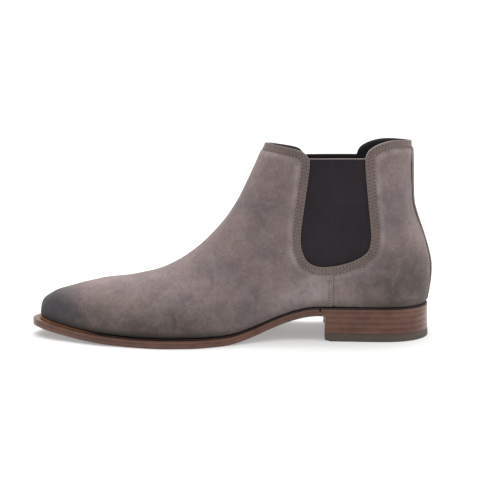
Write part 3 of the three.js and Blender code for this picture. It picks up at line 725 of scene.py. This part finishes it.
# Spun polyester thread: dull and twisted, painted near black where it sinks into its needle holes,
# as painted shade of the holes.
thread, tree, shader = new_finish(
    "spun_polyester_thread", "#90857a", Roughness=0.7, Specular_IOR_Level=0.3, Sheen_Weight=0.2,
)
place = add(tree, "Attribute", {}, "Vector", attribute_name="place")
dive = add(tree, "Attribute", {}, "Fac", attribute_name="dive")
twist = patches(tree, place, 0.5, 0.3, 0.7, 2)
colour = stained(tree, "#a89b91", twist, 1, "#81756b")
# painted shade: the thread is near black where it sinks into the needle holes
colour = stained(tree, colour, dive, 1, "#16120f")


def dress(tree, shader, colour, height, strength, distance=0.0003):
    """Puts a colour on the shader, and a bump in metres that follows the height of a pattern."""
    bump = add(tree, "Bump", {"Height": height, "Strength": strength, "Distance": distance})
    tree.links.new(colour, shader.inputs["Base Color"])
    tree.links.new(bump, shader.inputs["Normal"])


dress(tree, shader, colour, twist, 0.3, 0.0002)


def bands(loops, count, closed=True):
    """Faces between loops of that many points each, which close on themselves or lie open."""
    faces = []
    for start in range(0, (loops - 1) * count, count):
        for p in range(count if closed else count - 1):
            next_p = (p + 1) % count
            faces.append([start + p, start + next_p, start + count + next_p, start + count + p])
    return faces


def capped(loops, count):
    """Bands between closed loops, with a face across the first loop and across the last."""
    first = list(range(count))
    return bands(loops, count) + [first[::-1], [(loops - 1) * count + p for p in first]]


def stitch_row(path, path_normals, pitch):
    """Centres, directions and normals of stitches spaced evenly along a path."""
    run = np.concatenate([[0], np.cumsum(np.linalg.norm(np.diff(path, axis=0), axis=1))])
    middle = (np.arange(int(run[-1] / pitch)) + 0.5) * pitch

    def at(distance, rows):
        return np.stack([np.interp(distance, run, rows[:, k]) for k in range(3)], 1)

    ahead = at(middle + 0.5, path) - at(middle - 0.5, path)
    facing = at(middle, path_normals)
    ahead /= np.linalg.norm(ahead, axis=1, keepdims=True)
    facing /= np.linalg.norm(facing, axis=1, keepdims=True)
    return at(middle, path), ahead, facing


def seen_from(side, surface_tree, x, z):
    """Where a point of the side view lies on a surface seen from one side, and its normal there."""
    hit, normal, _, _ = surface_tree.ray_cast(Vector((x, side * 200, z)), Vector((0, -side, 0)))
    if hit is not None and normal.y * side < 0:
        normal = -normal
    return hit, normal


def on_leather(line, side):
    """A line of the side view laid on the leather of one side, with the leather's normals."""
    found = [seen_from(side, leather_tree, x, z) for x, z in line]
    hits = np.array([(*hit, *normal) for hit, normal in found if hit is not None])
    return hits[:, :3], hits[:, 3:]


def stitches(centres, ahead, facing, pitch):
    """Thread loops: each rises out of one needle hole, lies flat and sinks into the next. Also gives how
    much of each point is painted as the shade inside the holes.
    """
    reach = np.array([-0.5, -0.47, -0.36, -0.3, -0.22, 0.22, 0.3, 0.36, 0.47, 0.5]) * pitch
    lift = np.array([-0.5, -0.27, -0.25, -0.05, 0.18, 0.18, -0.05, -0.25, -0.27, -0.5])
    thick = np.array([0.8, 1.5, 1.4, 0.8, 1, 1, 0.8, 1.4, 1.5, 0.8]) * thread_radius
    # how dark each ring is painted, for the shade inside the needle holes
    dive = np.array([1, 1, 1, 0.9, 0, 0, 0.9, 1, 1, 1])
    sides = 6
    turn = np.arange(sides) * 2 * math.pi / sides
    across = np.cross(ahead, facing)
    ring_count = len(reach)
    points = (
        centres[:, None, None]
        + ahead[:, None, None] * reach[None, :, None, None]
        + facing[:, None, None] * (lift[:, None] + np.sin(turn) * thick[:, None])[None, :, :, None]
        + across[:, None, None] * (np.cos(turn) * thick[:, None])[None, :, :, None]
    )
    faces = capped(ring_count, sides)
    one_by_one = points.reshape(len(centres), -1, 3)
    hole_shades = np.tile(np.repeat(dive, sides), len(centres))
    return *joined([(loop, faces) for loop in one_by_one]), hole_shades


def inset_line(line, distance):
    """The line moved to its right by a distance, in the side view."""
    tangent = np.gradient(line, axis=0)
    tangent /= np.linalg.norm(tangent, axis=1, keepdims=True)
    return line + np.stack([tangent[:, 1], -tangent[:, 0]], 1) * distance


topline_pitch = 2.7
seam_pitch = 2.3
fine_topline = spline(topline, 1600)
gore_foot = up(0.248)
laid = []
for side in (INNER, OUTER):
    for row in (row_1, row_2):
        line = inset_line(fine_topline, row)
        laid.append((*stitch_row(*on_leather(line, side), topline_pitch), topline_pitch))
    for back in (1.5, 3.2):
        heights = np.linspace(feather_z(seam_x) + 1, gore_foot - row_2 - 0.5, 60)
        line = np.stack([np.full(60, seam_x - back), heights], 1)
        laid.append((*stitch_row(*on_leather(line, side), seam_pitch), seam_pitch))


def make_stitching(name, wanted):
    """One mesh of all the laid stitches whose centres are wanted."""
    made, hole_shades = [], []
    for centres, ahead, facing, pitch in laid:
        chosen = wanted(centres)
        if chosen.any():
            points, faces, dive = stitches(centres[chosen], ahead[chosen], facing[chosen], pitch)
            made.append((points, faces))
            hole_shades.append(dive)
    return make_piece(name, *joined(made), thread, "upper_suede", (), None,
                      {"dive": np.concatenate(hole_shades)})


bend_with_shaft(make_stitching("vamp_stitching", lambda c: c[:, 0] < seam_x))
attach(make_stitching("quarter_stitching", lambda c: c[:, 0] >= seam_x), "root")

# ---- Back stay -----------------------------------------------------------------------------------
# A tapered strip of the same nubuck, 1 mm thick, that covers the seam where the quarters meet. Its
# edges are skived and it is sewn down along both sides before the upper is lasted.
columns = last_surface.shape[1]
last_faces = bands(rows, columns, closed=False)[columns - 1 :]  # the first row is the toe's one point
last_tree = BVHTree.FromPolygons(last_surface.reshape(-1, 3).tolist(), last_faces)
stay_low, stay_high = seat_z + 0.9, up(0.955)
stay_foot, stay_top = 5.5, 10.0
stay_rows = 70
half_across = [0, 0.2, 0.4, 0.6, 0.72, 0.8, 0.9, 0.97, 1]
stay_across = np.array([-u for u in half_across[:0:-1]] + half_across)
stay_lift = np.interp(
    np.abs(stay_across), [0, 0.6, 0.72, 0.8, 0.9, 0.97, 1], [1.25, 1.25, 1.2, 1.1, 1.2, 1, 0.6],
)


def behind(y, z):
    """The last surface seen from behind at that place, with its outward normal."""
    hit, normal, _, _ = last_tree.ray_cast(Vector((300, y, z)), Vector((-1, 0, 0)))
    if normal.x < 0:
        normal = -normal
    return np.array(hit), np.array(normal)


stay_grid = np.zeros((stay_rows, len(stay_across), 2, 3))
for r, z in enumerate(np.linspace(stay_low, stay_high, stay_rows)):
    half = lerp(stay_foot, stay_top, (z - stay_low) / (stay_high - stay_low))
    end = min(z - stay_low, stay_high - z)
    for c, u in enumerate(stay_across):
        at, normal = behind(u * half, z)
        lift = stay_lift[c] - 0.5 * (1 - smooth(end / 1.2))
        stay_grid[r, c] = at + normal * lift, at + normal * 0.25
stay_outer, stay_inner = stay_grid[:, :, 0].reshape(-1, 3), stay_grid[:, :, 1].reshape(-1, 3)
stay_faces = bands(stay_rows, len(stay_across), closed=False)
solid, solid_faces = thicken(stay_outer, stay_inner, stay_faces)
stay_height = solid[:, 2] - feather_z(solid[:, 0])
stay_values = upper_tones(solid, {"height": stay_height, "edge": np.full(len(solid), 50.0)})
side_share = np.tile(np.abs(stay_across), stay_rows * 2)
stay_values["bare_edge"] = smooth((side_share - 0.93) / 0.07)
make_piece("back_stay_leather", solid, solid_faces, nubuck, "upper_suede", ["back_stay"],
           values=stay_values)

laid = []
for side in (-1, 1):
    column = int(np.argmin(np.abs(stay_across - side * 0.8)))
    path = stay_grid[3:-2, column, 0]
    facing = path - stay_grid[3:-2, column, 1]
    laid.append((*stitch_row(path, facing, seam_pitch), seam_pitch))
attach(make_stitching("back_stay_stitching", lambda c: c[:, 0] > 0), "root")

# ---- Gores ---------------------------------------------------------------------------------------
# Elastic webbing, 1.2 mm thick, woven with upright ribs over rubber cores. It is caught between
# leather and lining all round, and its woven selvedge is left free along the top.
gore_depth = 1.75
gore_thickness = 1.2
gore_margin = 7.8
rib_pitch = 1.6
gore_x = np.arange(along(0.637), along(0.868), rib_pitch / 4)
gore_z = np.concatenate([
    np.arange(up(0.18), gore_top - 2, 2.0), gore_top - np.array([1.6, 1.2, 0.8, 0.4, 0.15, 0]),
])

# Elastic webbing: dull aubergine-black yarn over rubber. The ribs catch a little light on one side,
# and the selvedge shows as a fine pale line.
elastic, tree, shader = new_finish(
    "ribbed_elastic_webbing", "#2b2428", Roughness=0.8, Specular_IOR_Level=0.3, Sheen_Weight=0.06,
    Sheen_Roughness=0.5,
)
place = add(tree, "Attribute", {}, "Vector", attribute_name="place")
selvedge = add(tree, "Attribute", {}, "Fac", attribute_name="selvedge")
wave_scale = 2 * math.pi / 20  # the wave pattern's scale for one wave to the millimetre
weft_pitch = 1.1  # the real weft is 0.4 mm: drawn coarser so that it shows
warp = add(tree, "TexWave", {"Vector": place, "Scale": 2 * wave_scale / rib_pitch}, "Fac",
           bands_direction="X")
weft = add(tree, "TexWave", {"Vector": place, "Scale": wave_scale / weft_pitch}, "Fac",
           bands_direction="Z")
worn = patches(tree, place, 22, 0.35, 0.7)
colour = stained(tree, "#211b21", worn, 1, "#2c242a")
colour = stained(tree, colour, warp, 0.4, "#151214")
colour = stained(tree, colour, weft, 0.1, "#443a3e")
colour = stained(tree, colour, selvedge, 0.85, "#8b7c7a")
dress(tree, shader, colour, weft, 0.25, 0.0002)

for side, part in ((INNER, "gore_medial"), (OUTER, "gore_lateral")):
    grid = np.zeros((len(gore_x), len(gore_z), 3))
    facing = np.zeros_like(grid)
    for i, x in enumerate(gore_x):
        for k, z in enumerate(gore_z):
            grid[i, k], facing[i, k] = seen_from(side, last_tree, x, z)
    inside = distance_inside(topline, grid[..., 0], grid[..., 2])
    fields = {"inside": inside, "x": grid[..., 0], "z": grid[..., 2]}
    keep = of_corners(inside, np.minimum) < gore_margin
    g_points, g_normals, g_values, g_faces = cut_sheet(grid, fields, keep, {"inside": [gore_margin]})
    g_normals *= np.sign(g_normals[:, 1].mean() * side)
    wanted = face_mean(g_faces, g_values["inside"]) < gore_margin
    g_faces, g_points, g_normals, g_values = pick(g_faces, wanted, g_points, g_normals, g_values)
    rib = np.cos(g_values["x"] / rib_pitch * 2 * math.pi) * 0.12
    open_part = 1 - smooth((g_values["inside"] + 1.5) / 1.5)
    top_gap = gore_top - g_values["z"]
    fold = np.interp(top_gap, [0, 0.15, 0.4, 0.8, 1.6], [-0.35, 0, 0.12, 0, 0])
    lift = rib * open_part * smooth(top_gap / 1.2) + fold
    outer = g_points - g_normals * (gore_depth - lift)[:, None]
    inner = g_points - g_normals * (gore_depth + gore_thickness - 0.35 * (top_gap < 0.1))[:, None]
    solid, solid_faces = thicken(outer, inner, g_faces)
    selvedge = np.tile(1 - smooth((top_gap - 0.4) / 0.7), 2)
    piece = make_piece(part + "_webbing", solid, solid_faces, elastic, "gore_elastic", [part], None,
                       {"selvedge": selvedge})
    bend_with_shaft(piece)

# ---- Linings ---------------------------------------------------------------------------------------
# Black pigskin, 0.8 mm thick, in four pieces: one round the foot, one up the front of the shaft and
# one in each quarter. They are cemented over the stiffeners and sewn in along the topline.
lining_depth = 3.2
lining_thickness = 0.8
throat_line = np.array([
    (along(0.3), up(0.523)), (along(gore_front_share), up(0.262)), (along(0.9), up(0.262)),
])
turn_height = 20  # the layers turned under the last lift the lining below this height

# Finished pigskin: smooth, near black with a blue cast and a low even gloss; pores in small groups.
pigskin, tree, shader = new_finish(
    "finished_pigskin_lining", "#202126", Roughness=0.5, Specular_IOR_Level=0.35,
)
place = add(tree, "Attribute", {}, "Vector", attribute_name="place")
pores = add(tree, "TexVoronoi", {"Vector": place, "Scale": 1 / 1.4}, "Distance")
paler = patches(tree, place, 18, 0.35, 0.7, 4)
dress(tree, shader, stained(tree, "#1b1c21", paler, 1, "#2a2a30"), pores, 0.25)
dulled = add(tree, "MapRange", {"Value": paler, "To Min": 0.42, "To Max": 0.6})
tree.links.new(dulled, shader.inputs["Roughness"])

coarse = last_surface[::2, ::2]
normal_x, normal_y, normal_z = np.moveaxis(last_normals[::2, ::2], 2, 0)
fields = {
    "edge": distance_inside(topline, coarse[..., 0], coarse[..., 2]),
    "seam": coarse[..., 0] - seam_x,
    "throat": distance_inside(throat_line, coarse[..., 0], coarse[..., 2]),
    "across": coarse[..., 1] - centre_y(coarse[..., 0]),
    "height": coarse[..., 2] - feather_z(coarse[..., 0]),
    "nx": normal_x,
    "ny": normal_y,
    "nz": normal_z,
}
keep = of_corners(fields["edge"], np.maximum) > 0
lining_cuts = {"edge": [0, 0.4, 1.2, 2.2], "seam": [-0.15, 0.15], "throat": [-0.15, 0.15]}
l_points, l_normals, l_values, l_faces = cut_sheet(coarse, fields, keep, lining_cuts)
l_normals = np.stack([l_values["nx"], l_values["ny"], l_values["nz"]], 1)
l_normals /= np.linalg.norm(l_normals, axis=1, keepdims=True)


def lining_at(depth):
    moved = l_points - l_normals * depth[:, None]
    raised = feather_z(moved[:, 0]) + l_values["height"] + depth
    moved[:, 2] = lerp(moved[:, 2], raised, clamp01(1 - l_values["height"] / turn_height))
    return moved


above_gore = smooth((l_points[:, 2] - gore_top) / 3)
towards_leather = 0.65 * (1 - smooth(l_values["edge"] / 2.0)) * above_gore
rounded = 0.25 * (1 - smooth(l_values["edge"] / 0.4))
lining_outer = lining_at(lining_depth - towards_leather)
lining_inner = lining_at(lining_depth + lining_thickness - towards_leather - rounded)
centre = face_mean(l_faces, np.column_stack([l_values[n] for n in ("edge", "seam", "throat", "across")]))
covered = centre[:, 0] > 0
lining_parts = {
    "vamp_lining": covered & (centre[:, 1] < -0.15) & (centre[:, 2] > 0.15),
    "front_shaft_lining": covered & (centre[:, 1] < -0.15) & (centre[:, 2] < -0.15),
    "quarter_lining_medial": covered & (centre[:, 1] > 0.15) & (centre[:, 3] < 0),
    "quarter_lining_lateral": covered & (centre[:, 1] > 0.15) & (centre[:, 3] > 0),
}
for part, wanted in lining_parts.items():
    part_faces, outer, inner = pick(l_faces, wanted, lining_outer, lining_inner)
    solid, solid_faces = thicken(outer, inner, part_faces)
    in_front = part in ("vamp_lining", "front_shaft_lining")
    piece = make_piece(part + "_pigskin", solid, solid_faces, pigskin, "lining_leather", [part],
                       None if in_front else "root")
    if in_front:
        bend_with_shaft(piece)

# ---- Stiffeners, board, filler, shank and heel fasteners ------------------------------------------
# Toe puff and heel counter of pressed leather board, topline tapes of woven nylon, a cellulose
# insole board, ground cork between the bottoms, a spring-steel shank on two rivets, steel nails.


def frame_finish(name, colour, second, patch_size, grain_size, grain, node_names, **shader_values):
    """A finish in two tones with a grain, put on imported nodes. Its sizes are in millimetres."""
    material, tree, shader = new_finish(name, colour, **shader_values)
    metres = add(tree, "TexCoord", {}, "Object")
    place = add(tree, "VectorMath", {0: metres, "Scale": 1000.0}, operation="SCALE")
    tone = patches(tree, place, patch_size, 0.35, 0.65, 4)
    grains = add(tree, "TexNoise", {
        "Vector": place, "Scale": 1 / grain_size, "Detail": 3, "Roughness": 0.55,
    })
    dress(tree, shader, stained(tree, colour, tone, 1, second), grains, grain)
    for node_name in node_names:
        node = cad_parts[node_name]
        node.data.materials.clear()
        node.data.materials.append(material)


# Pressed leather board: fibrous, dull and tan.
frame_finish("pressed_leather_board", "#b19d80", "#9c8768", 6, 0.8, 0.3,
             ["toe_puff", "heel_counter"], Roughness=0.9)
# Woven nylon tape: black, slightly lustrous.
frame_finish("woven_nylon_tape", "#1b1b1f", "#2c2c31", 1.5, 0.5, 0.4,
             ["front_topline_tape", "back_topline_tape"], Roughness=0.6)
# Cellulose board: compressed pulp, pale brown with flecks.
frame_finish("cellulose_insole_board", "#a98e6c", "#927754", 3, 0.5, 0.2,
             ["insole_board"], Roughness=0.9)
# Ground cork in latex: 1 to 2 mm grains in two browns.
frame_finish("ground_cork_and_latex", "#8d6b45", "#5e452a", 1.6, 1.6, 0.6,
             ["cork_filler"], Roughness=0.95)
# Cold-rolled spring steel: grey, brushed by rolling.
frame_finish("rolled_spring_steel", "#9a9c9e", "#84868a", 4, 0.4, 0.1,
             ["shank", "shank_rivet_1", "shank_rivet_2"], Metallic=1.0, Roughness=0.35)
# Bright drawn-wire nails and a zinc-plated screw: harder gloss, small dull patches of oil.
frame_finish("drawn_steel_wire", "#a5a6a8", "#8c8d90", 2, 0.3, 0.1,
             ["heel_nail_1", "heel_nail_2", "heel_nail_3", "heel_nail_4", "heel_screw"],
             Metallic=1.0, Roughness=0.3)

# ---- Sock ------------------------------------------------------------------------------------------
# A full-length insole sock of black sheepskin, 1.2 mm, cemented over the board. It fills the lining
# from wall to wall, so its edge follows the foot of the lining.
cement = 0.25  # left between the layers of the bottom
turned_under = 4.0  # upper and lining turned in under the board
board_thickness = 2
sock_thickness = 1.2
sock_top = feather_level + turned_under + cement + board_thickness + cement + sock_thickness
cavity_tree = BVHTree.FromPolygons(lining_inner.tolist(), l_faces)
sock_rows = []
sock_share = (1 - np.cos(np.linspace(0, math.pi, 90))) / 2
sock_columns = 21
for x in lerp(toe_x + 8.5, feather_end - 5.2, sock_share):
    z = sole_z(x) + sock_top
    ends = []
    for side in (INNER, OUTER):
        hit, _, _, _ = cavity_tree.ray_cast(Vector((x, centre_y(x), z)), Vector((0, side, 0)))
        ends.append(hit.y - side * cement if hit is not None else centre_y(x) + side * 0.5)
    sock_rows.append([(x, y, z) for y in lerp(ends[0], ends[1], np.linspace(0, 1, sock_columns))])
sock = np.array(sock_rows)
from_middle = np.abs(np.linspace(-1, 1, sock_columns))
sock[..., 2] += smooth((from_middle - 0.9) / 0.1) * 0.25
sock_flat = sock.reshape(-1, 3)
sock_faces = bands(len(sock), sock_columns, closed=False)
solid, solid_faces = thicken(sock_flat, sock_flat - (0, 0, sock_thickness), sock_faces)

# Glazed sheepskin: soft, black, a little browner and duller than the lining round it.
sheepskin, tree, shader = new_finish("glazed_sheepskin_sock", "#262326", Roughness=0.6)
place = add(tree, "Attribute", {}, "Vector", attribute_name="place")
worn = patches(tree, place, 25, 0.35, 0.7, 4)
grain = add(tree, "TexNoise", {"Vector": place, "Scale": 1 / 1.2, "Detail": 4, "Roughness": 0.55})
dress(tree, shader, stained(tree, "#1f1c1e", worn, 1, "#332f31"), grain, 0.3)
make_piece("insole_sock_sheepskin", solid, solid_faces, sheepskin, "sock_leather", ["insole_sock"])

# ---- Rand, welt and outsole ------------------------------------------------------------------------
# A thin black rand lies under the upper all round; its black is partly painted shade of the gap between
# upper and sole. Under it is a leather welt round the forepart, a heel rand behind it, and the 3.9 mm
# outsole. Edges are trimmed, stained brown and hot-waxed.
toe_margin = 6  # how far the sole's edge stands out from the feather line at the toe tip
fore_margin = 3.6
heel_margin = 1.2
rand_margin = 0.9


def sole_margin(x):
    fore = lerp(toe_margin, fore_margin, smooth((x - toe_x) / 30))
    return lerp(fore, heel_margin, smooth((x - along(0.4)) / (along(0.62) - along(0.4))))


def outline(side, margin):
    """One side of the feather outline in plan, from toe to heel, moved out by the margin."""
    width = side_width[side](station_x) * end_rounding
    base = np.stack([station_x, centre_y(station_x) + side * width], 1)
    place_in_row = np.arange(stations + 1)
    ahead = base[np.minimum(place_in_row + 1, stations)]
    tangent = ahead - base[np.maximum(place_in_row - 1, 0)]
    tangent /= np.linalg.norm(tangent, axis=1, keepdims=True)
    normal = np.stack([-tangent[:, 1], tangent[:, 0]], 1) * side
    normal[0] = (-1, 0)
    normal[-1] = (1, 0)
    return base + normal * np.broadcast_to(margin, station_x.shape)[:, None]


def core_outline(side, inset):
    """The same outline drawn in by a large amount."""
    drawn = lerp(toe_x + inset, feather_end - inset, station_share)
    width = (side_width[side](drawn) - inset) * end_rounding
    return np.stack([drawn, centre_y(station_x) + side * width], 1)


def raised(flat, level):
    return np.column_stack([flat, sole_z(flat[:, 0]) + level])


def both_sides(edge):
    """A closed path: up the inner side from the heel end, round the toe and down the outer side."""
    return np.vstack([edge(INNER)[::-1], edge(OUTER)[1:-1]])


def sweep(loops, closed):
    """Faces between loops that each follow the path, once round the section. An open path is capped."""
    section, count = len(loops), len(loops[0])
    points = np.vstack(loops)
    faces = [[v % len(points) for v in face] for face in bands(section + 1, count, closed)]
    if not closed:
        faces.append([q * count for q in range(section)])
        faces.append([q * count + count - 1 for q in range(section)][::-1])
    return points, faces


ring_inset = 13  # the rings reach this far in under the board


def ring(name, margins, low, high, rounding, material, slot, cut=slice(None), open_at=None):
    """A ring piece with a rounded outer edge, on a cut of the stations. open_at is "heel" or "toe"
    where it stops short, or None if it goes all round."""
    rows = [
        (-rounding, low), (-0.3 * rounding, low + 0.3 * rounding), (0, low + rounding),
        (0, high - rounding), (-0.3 * rounding, high - 0.3 * rounding), (-rounding, high),
        (None, high), (None, low),
    ]
    loops = []
    for offset, level in rows:
        inner, outer = (
            (core_outline(side, ring_inset) if offset is None else outline(side, margins + offset))[cut]
            for side in (INNER, OUTER)
        )
        if open_at == "heel":
            flat = np.vstack([inner[::-1], outer[1:]])
        elif open_at == "toe":
            flat = np.vstack([inner, outer[::-1][1:]])
        else:
            flat = np.vstack([inner[::-1], outer[1:-1]])
        loops.append(raised(flat, level))
    points, faces = sweep(loops, open_at is None)
    make_piece(name + "_edge", points, faces, material, slot, [name])


# Vegetable-tanned sole bends: the cut edge is stained chestnut, waxed and burnished with a hot iron.
# It shows the leather's fibre layers as fine level lines, under a satin gloss.
def burnished_bend(name, dark, light, gloss):
    material, tree, shader = new_finish(name, dark, Roughness=gloss, Specular_IOR_Level=0.45,
                                        Coat_Weight=0.1, Coat_Roughness=0.25)
    place = add(tree, "Attribute", {}, "Vector", attribute_name="place")
    drawn_out = add(tree, "VectorMath", {0: place, 1: (0.05, 0.05, 1.6)}, operation="MULTIPLY")
    layers = patches(tree, drawn_out, 1.0, 0.32, 0.68, 4, 0.6)
    stain = patches(tree, place, 11, 0.38, 0.62, 3, 0.55, 0.5)
    colour = stained(tree, dark, stain, 1, light)
    colour = stained(tree, colour, layers, 0.08, "#3a261e")
    dress(tree, shader, colour, layers, 0.1)
    dulled = add(tree, "MapRange", {"Value": layers, "To Min": gloss - 0.03, "To Max": gloss + 0.05})
    tree.links.new(dulled, shader.inputs["Roughness"])
    return material


edge_leather = burnished_bend("burnished_sole_bend", "#5b3a2e", "#6a4638", 0.36)
heel_leather = burnished_bend("burnished_heel_lifts", "#5a372a", "#694434", 0.3)

# Split leather inked black at its edge: deep brown-black and dull, and worn down to the tan leather
# where the sole's edge was trimmed round the toe. The black also stands for painted shade of the gap
# between upper and sole.
rand_ink_and_gap_shade, tree, shader = new_finish("black_inked_rand_and_painted_gap_shade", "#1b1715", Roughness=0.6)
place = add(tree, "Attribute", {}, "Vector", attribute_name="place")
paler = patches(tree, place, 5, 0.4, 0.7)
colour = stained(tree, "#181412", paler, 1, "#2b221e")
length_along = add(tree, "SeparateXYZ", {"Vector": place}, "X")
round_toe = add(tree, "MapRange", {
    "Value": length_along, "From Min": along(0.17), "From Max": along(0.1), "To Max": 0.8,
})
tree.links.new(stained(tree, colour, round_toe, 1, "#96643f"), shader.inputs["Base Color"])

outsole_thickness = 3.9
welt_low = outsole_thickness + 0.02
welt_high = outsole_thickness + cement + 1.6
rand_low = welt_high + cement
rand_high = rand_low + 0.8
margin = sole_margin(station_x)
welt_end = int(np.searchsorted(station_x, along(0.718)))
# the black rand: partly a real inked strip, partly painted shade of the gap between upper and sole
ring("rand", rand_margin + 0 * station_x, rand_low, rand_high, 0.3, rand_ink_and_gap_shade, "black_edge")
ring("welt", margin, welt_low, welt_high, 0.2, edge_leather, "sole_leather",
     slice(welt_end), "heel")
ring("heel_rand", margin, welt_low, welt_high, 0.08, edge_leather, "sole_leather",
     slice(welt_end, None), "toe")


def plate(rows):
    """A full plate: side loops from (margin, level) rows, closed by strips across top and bottom."""
    loops = [raised(both_sides(lambda side: outline(side, margin)), level) for margin, level in rows]
    count = 2 * stations
    faces = bands(len(loops), count)
    for loop in (0, len(loops) - 1):
        for i in range(stations):
            corners = [stations - i, stations - i - 1, (stations + i + 1) % count, stations + i]
            faces.append([loop * count + v for v in dict.fromkeys(corners)])
    return np.vstack(loops), faces


arris = 1 - smooth((station_x - along(0.71)) / 6)  # the tread's edge is rounded, but not over the heel
points, faces = plate([
    (margin - arris, 0), (margin - 0.5 * arris, 0.12), (margin - 0.15 * arris, 0.45), (margin, 1.0),
    (margin, outsole_thickness - 0.15), (margin - 0.08, outsole_thickness),
])
make_piece("outsole_leather", points, faces, edge_leather, "sole_leather", ["outsole"])

# ---- Heel --------------------------------------------------------------------------------------------
# Three lifts of sole leather, cemented and nailed in a stack, trimmed together, stained and waxed.
# Under them is a rubber top piece with its inner front corner cut away, held by seven brass pins.
breast_x = along(0.734)
breast_hollow = 2.5
breast_skew = 0.08  # it stands square to the heel's own axis, which is turned from the boot's
top_piece_height = 6.0
lift_height = 4.45


def breast_at(y):
    return breast_x + breast_skew * y + breast_hollow * (1 - (y / half_heel) ** 2)


def heel_outline(margin):
    """The heel in plan: its outer edge behind the hollow breast line, then back along the breast."""
    flat = both_sides(lambda side: outline(side, margin))
    flat = np.roll(flat, stations, axis=0)  # starts at the toe, so that the heel is in one run
    run = flat[flat[:, 0] > breast_at(flat[:, 1])]
    y = np.linspace(run[-1, 1], run[0, 1], 42)[1:-1]
    return np.vstack([run, np.stack([breast_at(y), y], 1)])


def heel_block(rows):
    """A level block of the heel from (extra margin, level) rows, with flat ends."""
    loops = []
    for extra, level in rows:
        flat = heel_outline(margin + extra)
        loops.append(np.column_stack([flat, np.full(len(flat), level)]))
    shortest = min(len(loop) for loop in loops)
    loops = [loop[np.linspace(0, len(loop) - 1, shortest).round().astype(int)] for loop in loops]
    return np.vstack(loops), capped(len(loops), shortest)


def flare(z):
    """The heel spreads by 1 mm from its seat to the ground."""
    return 1 - z / heel_top


def block_rows(low, high, ease):
    """Rows of a block whose arrises are eased by that much."""
    return [
        (flare(low) - ease, low), (flare(low) - 0.3 * ease, low + 0.4 * ease),
        (flare(low + ease), low + ease), (flare(high - ease), high - ease),
        (flare(high) - 0.3 * ease, high - 0.4 * ease), (flare(high) - ease, high),
    ]


for number in (1, 2, 3):
    low = top_piece_height + (number - 1) * lift_height
    points, faces = heel_block(block_rows(low, low + lift_height - 0.02, 0.05))
    node = f"heel_lift_{number}"
    make_piece(node + "_leather", points, faces, heel_leather, "sole_leather", [node])

# Moulded nitrile rubber: grey-brown, dull, with a fine ground edge.
rubber, tree, shader = new_finish("moulded_nitrile_rubber", "#4f453d", Roughness=0.65)
place = add(tree, "Attribute", {}, "Vector", attribute_name="place")
dust = patches(tree, place, 7, 0.35, 0.7, 5)
ground = add(tree, "TexNoise", {"Vector": place, "Scale": 1 / 0.5, "Detail": 3, "Roughness": 0.55})
dress(tree, shader, stained(tree, "#463c35", dust, 1, "#5d5249"), ground, 0.35)

notch_length, notch_width = 5.5, 7.0
points, faces = heel_block(block_rows(0, top_piece_height - 0.15, 0.3))
cut = bmesh.new()
for p in points:
    cut.verts.new(p)
cut.verts.ensure_lookup_table()
for face in faces:
    cut.faces.new([cut.verts[v] for v in face])
corner_y = centre_y(breast_x) - side_width[INNER](breast_x) - sole_margin(breast_x) - 1
slope = Vector((1 / notch_length, 1 / notch_width, 1 / top_piece_height))
corner = Vector((breast_at(corner_y) + notch_length, corner_y, 0))
halved = bmesh.ops.bisect_plane(
    cut, geom=cut.verts[:] + cut.edges[:] + cut.faces[:], plane_co=corner, plane_no=slope,
    clear_inner=True,
)
open_edge = [edge for edge in halved["geom_cut"] if isinstance(edge, bmesh.types.BMEdge)]
bmesh.ops.contextual_create(cut, geom=open_edge)
cut.verts.index_update()
points = np.array([v.co[:] for v in cut.verts])
faces = [[v.index for v in face.verts] for face in cut.faces]
cut.free()
top_piece = make_piece("top_piece_rubber", points, faces, rubber, "top_piece_rubber", ["top_piece"],
                       crease=25)

# Turned brass pins, flush in the tread: bright where they are worn, browner round the rim.
brass, tree, shader = new_finish("drawn_brass_pin", "#b08d4a", Metallic=1.0, Roughness=0.32)
place = add(tree, "Attribute", {}, "Vector", attribute_name="place")
tarnish = patches(tree, place, 0.8, 0.4, 0.7)
tree.links.new(stained(tree, "#b9964f", tarnish, 1, "#8a6a35"), shader.inputs["Base Color"])


def turned_pin(x, y, rows, sides=24):
    """A round pin from (radius, height) rows, closed at both ends."""
    turn = np.arange(sides) * 2 * math.pi / sides
    points = np.vstack([
        np.stack([x + r * np.cos(turn), y + r * np.sin(turn), np.full(sides, z)], 1) for r, z in rows
    ])
    return points, capped(len(rows), sides)


pin_height = top_piece_height + lift_height * 0.5
holes = []
for number in range(1, 8):
    node = f"top_piece_pin_{number}"
    low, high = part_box(node)
    x, y = (low.x + high.x) * 500 - frame_shift[0], (low.y + high.y) * 500 - frame_shift[1]
    points, faces = turned_pin(x, y, [(0.6, 0.1), (0.9, 0.2), (1, 0.4), (1, pin_height)])
    make_piece(node + "_brass", points, faces, brass, "pin_brass", [node])
    holes.append(turned_pin(x, y, [(1.25, -1), (1.25, 1.2)]))
hole_points, hole_faces = joined(holes)
hole_mesh = bpy.data.meshes.new("pin_holes")
hole_mesh.from_pydata(place_on_frame(hole_points).tolist(), [], hole_faces)
pin_holes = bpy.data.objects.new("pin_holes", hole_mesh)
bpy.context.scene.collection.objects.link(pin_holes)
boring = top_piece.modifiers.new("pin_holes", "BOOLEAN")
boring.object = pin_holes
bored = bpy.data.meshes.new_from_object(top_piece.evaluated_get(bpy.context.evaluated_depsgraph_get()))
top_piece.modifiers.clear()
top_piece.data = bored
bpy.data.objects.remove(pin_holes)
